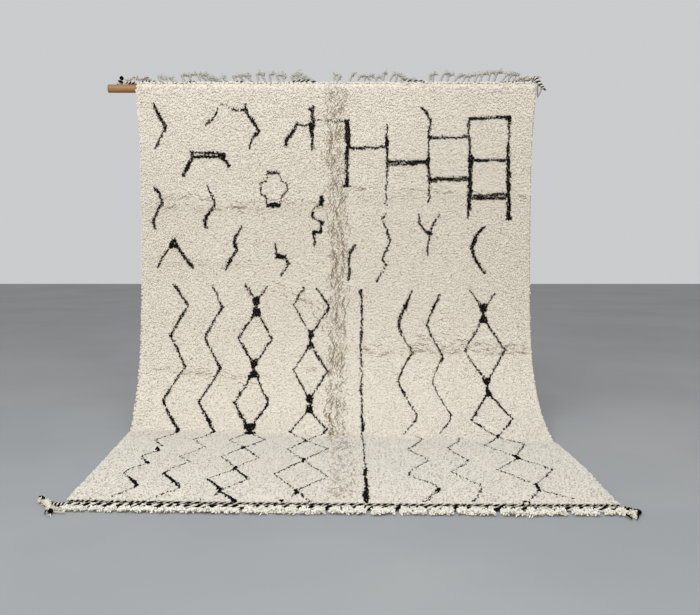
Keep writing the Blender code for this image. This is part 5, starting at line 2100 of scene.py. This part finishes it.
@dataclass
class TopFringe:
    """The loose strands of the top edge, which stand up behind the pole's top and curl over."""

    strands: tuple[Strand, ...] = tuple(Strand(*row) for row in (
        (-89.2, -91.6, 4.8, 2.0, 0.8), (-86.3, -89.0, 4.0, 1.6, 1.2), (-81.5, -85.4, 3.8, 1.0, 0.5),
        (-78.3, -79.2, 5.4, 3.4, 0.1), (-74.4, -75.6, 5.7, 4.0, 0.0), (-70.0, -70.8, 5.9, 4.6, 0.7),
        (-64.4, -69.0, 5.3, 4.8, 1.9), (-61.0, -66.0, 4.2, 4.4, 2.0), (-58.2, -62.5, 2.9, 3.2, 1.4),
        (-54.0, -58.4, 4.3, 1.0, 0.5), (-50.0, -52.9, 4.8, 2.8, 0.1), (-46.8, -49.7, 5.2, 3.4, 0.1),
        (-42.6, -46.2, 5.2, 1.8, 0.8), (-39.9, -40.9, 6.0, 2.2, 0.2), (-36.0, -38.4, 5.7, 1.2, 0.8),
        (-33.7, -34.3, 5.9, 2.4, 0.1), (-28.5, -30.7, 5.3, 3.0, 0.2), (-26.0, -27.5, 5.1, 1.2, 1.6),
        (-23.1, -22.7, 5.1, 1.8, 0.3), (-20.3, -20.8, 6.6, 1.6, 2.2), (-18.6, -19.3, 6.1, 2.4, 2.4),
        (-17.0, -18.0, 4.3, 3.0, 1.6), (-14.6, -16.0, 3.5, 2.6, 1.3), (-12.2, -14.0, 2.3, 2.2, 0.8),
        (-1.3, -0.8, 5.4, 0.8, 0.3), (-0.6, 1.4, 4.3, 0.8, -0.3), (5.8, 8.0, 5.8, 1.4, 0.3),
        (9.6, 12.4, 4.9, 2.6, 0.1), (13.6, 15.0, 4.6, 1.4, 0.6), (17.4, 16.4, 5.0, 3.2, 0.7),
        (20.2, 21.2, 4.4, 2.8, 1.5), (23.2, 24.8, 6.1, 0.8, 0.2), (26.0, 29.0, 5.8, 2.6, 0.5),
        (29.4, 31.2, 5.5, 3.2, 1.9), (32.4, 33.8, 3.7, 3.4, 1.0), (36.6, 38.6, 2.9, 2.8, 0.6),
        (49.5, 49.7, 6.0, 1.9, 0.5), (48.2, 48.0, 5.4, 2.2, -0.3), (52.6, 55.5, 6.2, 2.6, 0.1),
        (56.2, 57.9, 5.6, 2.6, 0.2), (58.9, 62.2, 4.9, 3.0, -0.2), (63.8, 66.2, 4.7, 3.2, 0.2),
        (66.6, 68.6, 5.4, 3.2, 0.2), (70.1, 72.6, 5.6, 2.6, 0.3), (73.4, 75.4, 6.2, 2.8, 0.4),
        (76.8, 79.0, 6.6, 3.0, 0.4), (80.2, 82.6, 6.9, 3.0, 0.8), (83.4, 87.8, 5.9, 2.8, 0.1),
        (86.6, 90.0, 5.5, 3.8, 0.3), (91.0, 95.2, 3.5, 3.2, 0.4), (94.6, 96.8, 3.0, 2.2, 0.8)))
    bar_y: float = 0.015
    bar_z: float = 0.0212
    bar_radius: float = 0.0036
    leg: float = 0.0082
    curls: int = 18
    curl: tuple[float, float] = (0.014, 0.0026)

    def build(self, material: Material) -> Object:
        """Builds the strands and the heading that they leave.

        Args:
            material: the yarn's material.

        Returns:
            The fringe.
        """
        work = YarnWork("strands_top", 67)
        bar = [(x, self.bar_y, self.bar_z, self.bar_radius) for x in (-RUG_WIDTH / 2, 0.0, RUG_WIDTH / 2)]
        work.twist(bar, 0.03, 5, 5, -0.3)
        for strand in self.strands:
            self.stand_up(work, strand)
        return work.piece.finish(material, Slot.FRINGE, "fringe_top")

    def stand_up(self, work: YarnWork, strand: Strand) -> None:
        """Twists one strand and roughens its upper half.

        Args:
            work: the yarns of the fringe.
            strand: the strand.
        """
        rng = work.rng
        foot, bend, rise, hook, drop = np.array(strand) / 100
        sway = rng.normal(0, 0.0015, 5)
        back = 0.006 + abs(rng.normal(0, 0.004))
        rows = ((foot, 0.0, 0.9), (foot * 0.45 + bend * 0.55, rise * 0.52, 0.95), (bend, rise * 0.92, 1.1),
                (bend + hook * 0.45, rise * 1.02, 1.35), (bend + hook, rise - drop, 1.0))
        stops = [(x + off, self.bar_y + back * min(up / rise, 1.0), self.bar_z + up, self.leg * radius)
                 for off, (x, up, radius) in zip(sway, rows)]
        tone = -0.15 + rng.normal(0, 0.18)
        work.twist(stops, 0.026, 5, 6, tone)
        picks = rng.integers(11, 24, self.curls)
        places = work.path(stops, 24)[picks, :3] + rng.normal(0, 0.0042, (self.curls, 3))
        ways = rng.normal(0, 0.8, (self.curls, 3)) + (0.4, 0.0, 0.0)
        work.fluff(places, ways, *self.curl, tone + 0.1)


@dataclass
class CornerTails:
    """The knotted tails in which the thick twined rows end past the four corners."""

    cloth: HungCloth
    rows: EdgeRows

    def ends(self) -> dict[str, Array]:
        """Where the thick rows end.

        Returns:
            The four end points by name.
        """
        rows, radius = self.rows, self.rows.outer / 2
        front = self.cloth.front_edge(np.array([0.0, 1.0]), FLAT_END + GAP + radius, radius)
        y, z = self.cloth.on_pole(rows.outer_angle, POLE_RADIUS + GAP + radius)
        half = RUG_WIDTH / 2 + self.cloth.drape.top_flare
        left, right = rows.front_left_end, rows.front_right_end
        return {"front_left": front[0] + (-left[0], -left[1], 0.0),
                "front_right": front[1] + (right[0], -right[1], 0.0),
                "top_left": np.array([-half - rows.top_left_end, y, z]), "top_right": np.array([half, y, z])}

    def build(self, material: Material) -> list[Object]:
        """Builds the four tails.

        Args:
            material: the yarn's material.

        Returns:
            The tails.
        """
        made = []
        ties = (self.tie_front_left, self.tie_front_right, self.tie_top_left, self.tie_top_right)
        for (name, end), seed, tie in zip(self.ends().items(), (71, 73, 79, 83), ties):
            work = YarnWork(f"tail_knot_{name}", seed, end, FLOOR if "front" in name else None)
            tie(work)
            made.append(work.piece.finish(material, Slot.TWINED, f"tail_{name}"))
        return made

    def tie_front_left(self, work: YarnWork) -> None:
        """Ties a cream cord with a black yarn over it and a black knot at its front, and two side strands.

        Args:
            work: the yarns of the tail.
        """
        body = ((-0.046, 0.042, 0.003, 0.006), (-0.03, 0.028, 0.005, 0.0095),
                (-0.006, -0.006, 0.006, 0.0105), (0.014, -0.045, 0.005, 0.009), (0.028, -0.074, 0.004, 0.007))
        work.twist(body, 0.026, 7, 10)
        work.fuzz(body, 160, 0.0105)
        work.yarn(((-0.058, 0.056, 0.011, 0.0044), (-0.043, 0.038, 0.0165, 0.0058),
                   (-0.026, 0.016, 0.021, 0.0046)), 9, 6)
        work.tuft((-0.044, 0.036, 0.003), (-0.9, -0.2, 0.1), 0.014, 0.6, 6, 0.003, 0.3)
        work.knot((0.0318, -0.0868, 0.006), (0.3, -1, 0), 0.0092)
        work.yarn(((0.021, -0.078, 0.009, 0.0016), (0.015, -0.09, 0.007, 0.0022),
                   (0.018, -0.104, 0.0, 0.0014)), 7)
        work.tuft((0.036, -0.1, 0.001), (0.25, -1, 0), 0.036, 0.18, 4, 0.0013, 0.4, 4)
        work.twist(((0.04, -0.082, 0.003, 0.0036), (0.06, -0.086, 0.002, 0.0034),
                   (0.082, -0.086, 0.001, 0.0034)), 0.014, tone=-0.9)
        strip = ((0.014, -0.05, 0.003, 0.005), (0.045, -0.056, 0.002, 0.0055),
                 (0.086, -0.056, 0.002, 0.005))
        work.twist(strip, 0.02, tone=0.2)
        work.fuzz(strip, 40, 0.0045)

    def tie_front_right(self, work: YarnWork) -> None:
        """Ties two black knots, a cream cord and the black yarn ends beside it.

        Args:
            work: the yarns of the tail.
        """
        work.knot((0.0045, -0.0023, 0.006), (0.3, -1.0, 0), 0.0086)
        work.yarn(((0.0, -0.012, 0.004, 0.003), (-0.007, -0.034, 0.0, 0.0026),
                   (-0.022, -0.062, -0.001, 0.0016)), 8)
        work.knot((-0.018, 0.016, 0.0075), (0.2, 0.3, 1), 0.0085, 2)
        white = ((-0.017, 0.004, 0.003, 0.007), (-0.02, -0.022, 0.005, 0.009),
                 (-0.021, -0.046, 0.003, 0.0065))
        work.twist(white, 0.03, 6, tone=0.2)
        work.fuzz(white, 60, 0.006)
        work.yarn(((-0.046, -0.026, 0.006, 0.0026), (-0.043, -0.046, 0.005, 0.0032),
                   (-0.038, -0.064, 0.001, 0.0022)), 7)

    def tie_top_left(self, work: YarnWork) -> None:
        """Ties a black and a cream knot, a striped cord on the pole and loose loops with black wraps over it.

        Args:
            work: the yarns of the tail.
        """
        work.knot((-0.033, -0.004, 0.028), (0, -1, 0.2), 0.0104)
        work.knot((-0.035, 0.0, 0.0085), (0, -1, 0.2), 0.0105, 3, 0.0, 0.1)
        work.yarn(((-0.048, -0.013, 0.0135, 0.0042), (-0.036, -0.015, 0.0095, 0.0058),
                   (-0.025, -0.013, 0.005, 0.0046)), 7, 6)
        work.tuft((-0.04, -0.003, 0.004), (-1, -0.1, 0.0), 0.022, 0.35, 7, 0.0026, 0.2)
        work.yarn(((-0.028, 0.0, 0.026, 0.0018), (-0.014, -0.002, 0.0225, 0.0022),
                   (0.002, -0.003, 0.01, 0.0018)), 8, 5, 0.0, -1.0)
        work.twist(((-0.018, -0.007, 0.004, 0.0052), (0.018, -0.008, 0.005, 0.006),
                   (0.056, -0.006, 0.0035, 0.005)), 0.018, 6, tone=0.2, plies=STRIPED)
        loops = ((-0.012, -0.002, 0.016, 0.003), (0.008, 0.0, 0.022, 0.004),
                 (0.029, 0.002, 0.031, 0.0046), (0.05, 0.004, 0.027, 0.0046), (0.072, 0.004, 0.026, 0.0042),
                 (0.1, 0.002, 0.029, 0.0036), (0.116, 0.0, 0.018, 0.003))
        work.twist(loops, 0.022, tone=-0.8)
        work.fuzz(loops, 110, 0.008, -0.8)
        work.yarn(((0.022, -0.006, 0.029, 0.001), (0.029, -0.006, 0.035, 0.0018),
                   (0.036, -0.006, 0.031, 0.001)), 8, dark=0.8)
        work.yarn(((0.08, -0.006, 0.023, 0.0012), (0.094, -0.006, 0.031, 0.002),
                   (0.106, -0.006, 0.032, 0.0014), (0.112, -0.006, 0.018, 0.001),
                   (0.12, -0.006, 0.002, 0.0015)), 12, dark=0.8)

    def tie_top_right(self, work: YarnWork) -> None:
        """Ties a striped cord that hangs down to a knot, two hanging yarns and dark wool over them.

        Args:
            work: the yarns of the tail.
        """
        cord = ((0.0, 0.0, 0.002, 0.005), (-0.011, 0.002, 0.016, 0.006), (-0.008, -0.002, 0.029, 0.0095),
                (0.005, -0.004, 0.023, 0.012), (0.021, -0.007, 0.002, 0.0115),
                (0.036, -0.01, -0.016, 0.0085), (0.048, -0.012, -0.031, 0.0055))
        work.twist(cord, 0.0135, 6, tone=0.2, plies=STRIPED)
        work.knot((0.049, -0.012, -0.031), (0.6, 0, -0.8), 0.0055, 3)
        work.yarn(((0.013, -0.006, -0.008, 0.0044), (0.012, -0.008, -0.04, 0.0046),
                   (0.0135, -0.009, -0.069, 0.0024)), 9, 5, 0.35, -1.0)
        work.yarn(((0.031, -0.01, -0.014, 0.004), (0.028, -0.011, -0.04, 0.0042),
                   (0.0145, -0.01, -0.066, 0.0022)), 9, 5, 0.35, -1.0)
        work.knot((-0.03, 0.003, 0.022), (1, 0, 0.2), 0.007, 3, 0.6, -0.5)
        work.knot((-0.01, 0.002, 0.031), (1, 0, 0.1), 0.0075, 3, 0.6, -0.5)
        work.fuzz(((-0.12, 0.004, 0.014, 0.004), (-0.06, 0.002, 0.024, 0.004),
                   (0.02, 0.0, 0.034, 0.004)), 110, 0.0105, -0.95)
        work.yarn(((-0.06, 0.004, 0.018, 0.0026), (-0.03, 0.002, 0.028, 0.0034),
                   (0.004, 0.0, 0.036, 0.0034), (0.032, 0.0, 0.034, 0.0018)), 12, 5, 0.0, -1.0)


# --- the pole, floor, light and camera ---


@dataclass
class HangingPole:
    """The plain round pole, whose CAD node stays and gets its wood."""

    node: str = "pole"

    def dress(self, material: Material) -> Object:
        """Gives the pole its wood.

        Args:
            material: the wood's material.

        Returns:
            The pole.
        """
        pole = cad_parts[self.node]
        for slot in pole.material_slots:
            slot.material = material
        LOG.info("%s: dressed", pole.name)
        return pole


@dataclass(frozen=True)
class SoftLamp:
    """A square soft light: its place, the point that it faces, its side in metres, watts and colour."""

    name: str
    place: Point
    aim: Point
    size: float
    power: float
    colour: Colour

    def hang(self) -> None:
        """Hangs the light."""
        data = bpy.data.lights.new(self.name, "AREA")
        data.shape, data.size, data.energy, data.color = "SQUARE", self.size, self.power, self.colour
        lamp = bpy.data.objects.new(self.name, data)
        lamp.location = self.place
        lamp.rotation_euler = (Vector(self.aim) - Vector(self.place)).to_track_quat("-Z", "Y").to_euler()
        bpy.context.scene.collection.objects.link(lamp)


@dataclass
class Studio:
    """A plain pale floor, soft light from above and in front, and the camera."""

    camera_place: Point = (0.07, -4.485, -0.736)
    camera_pitch: float = math.radians(90 - 4.96)
    focal_pixels: float = 860.0
    picture_pixels: float = 700.0
    sensor: float = 36.0
    floor_side: float = 24.0
    floor_drop: float = 0.0006
    world_light: float = 0.62
    world_colour: Colour = (0.96, 0.968, 0.985)
    lamps: tuple[SoftLamp, ...] = (
        SoftLamp("ceiling_light", (-0.4, -2.6, 2.6), (0.0, -0.9, -1.2), 3.4, 113.0, (0.84, 0.93, 1.0)),
        SoftLamp("front_light", (-0.9, -6.2, 1.0), (0.0, -0.1, -0.7), 3.2, 134.0, (1.0, 0.985, 0.95)),
    )

    def floor(self, material: Material) -> None:
        """Lays the floor.

        Args:
            material: the floor's material.
        """
        bpy.ops.mesh.primitive_plane_add(size=self.floor_side, location=(0.0, 0.0, FLOOR - self.floor_drop))
        floor = bpy.context.active_object
        floor.name = "floor"
        floor.data.materials.append(material)

    def light(self) -> None:
        """Sets the soft sky and the lamps."""
        scene = bpy.context.scene
        world = bpy.data.worlds.new("soft_sky")
        world.use_nodes = True
        sky = world.node_tree.nodes["Background"]
        sky.inputs["Color"].default_value = (*self.world_colour, 1.0)
        sky.inputs["Strength"].default_value = self.world_light
        scene.world = world
        scene.view_settings.view_transform = "Standard"
        for lamp in self.lamps:
            lamp.hang()

    def camera(self) -> None:
        """Sets the camera."""
        data = bpy.data.cameras.new("camera")
        data.sensor_width, data.lens = self.sensor, self.focal_pixels / self.picture_pixels * self.sensor
        data.clip_start, data.clip_end = 0.05, 60.0
        camera = bpy.data.objects.new("camera", data)
        camera.location = self.camera_place
        camera.rotation_euler = (self.camera_pitch, 0.0, 0.0)
        bpy.context.scene.collection.objects.link(camera)
        bpy.context.scene.camera = camera


CREAM_WOOL = Wool("cream_wool", root=(0.62, 0.53, 0.4), body=(0.775, 0.705, 0.6), tip=(0.8, 0.735, 0.635),
                  shade=(0.22, 0.145, 0.08), stain=(0.72, 0.635, 0.51))
BLACK_WOOL = Wool("black_wool", root=(0.004, 0.0035, 0.003), body=(0.006, 0.005, 0.0045),
                  tip=(0.009, 0.0075, 0.007), shade=(0.005, 0.004, 0.004), stain=(0.01, 0.007, 0.005),
                  stain_share=0.2, sheen=0.0, gloss=0.05)
# the dark wool of the parting lines: painted shade in the partings
PARTING_SHADE_WOOL = Wool("parting_shade_wool", root=(0.145, 0.085, 0.03), body=(0.21, 0.13, 0.05),
                   tip=(0.5, 0.42, 0.32), shade=(0.14, 0.092, 0.05), stain=(0.42, 0.32, 0.21), sheen=0.05)
FRINGE_YARN = TwistedYarn("fringe_yarn", (0.9, 0.855, 0.76), (0.74, 0.67, 0.55))
TOP_YARN = TwistedYarn("top_strand_yarn", (0.58, 0.55, 0.49), (0.38, 0.355, 0.32))
TWINED_YARN = TwistedYarn("twined_yarn", (0.84, 0.79, 0.69), (0.56, 0.49, 0.38), (0.005, 0.0045, 0.004),
                          (0.003, 0.0025, 0.0025), sheen=0.0, gloss=0.04)
GROUND = WovenGround("woven_ground")
WOOD = SandedWood("pole_wood")
FLOOR_FINISH = PaleFloor("pale_floor")


def main() -> None:
    """Builds the camera, the rug and its studio in order."""
    logging.basicConfig(level=logging.INFO, format="%(name)s %(message)s", stream=sys.stdout)
    bpy.ops.object.select_all(action="DESELECT")
    studio = Studio()
    studio.camera()
    cloth = HungCloth(Drape())
    drawing = Drawing()
    ground = GroundCloth(cloth).build(GROUND.material())
    cream = CREAM_WOOL.material()
    parted = PartingShadeLines(cloth)
    parted.draw()
    pile = [PileBody(cloth).build(cream), *Pile(cloth, drawing, parted).build(cream, BLACK_WOOL.material()),
            parted.build(PARTING_SHADE_WOOL.material())]
    yarn = TWINED_YARN.material()
    rows = EdgeRows(cloth)
    twined = rows.build(yarn)
    front = FrontFringe(cloth).build(FRINGE_YARN.material())
    top = TopFringe().build(TOP_YARN.material())
    tails = CornerTails(cloth, rows).build(yarn)
    HangingPole().dress(WOOD.material())
    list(twined.values())
    studio.floor(FLOOR_FINISH.material())
    studio.light()


if __name__ == "__main__":
    main()
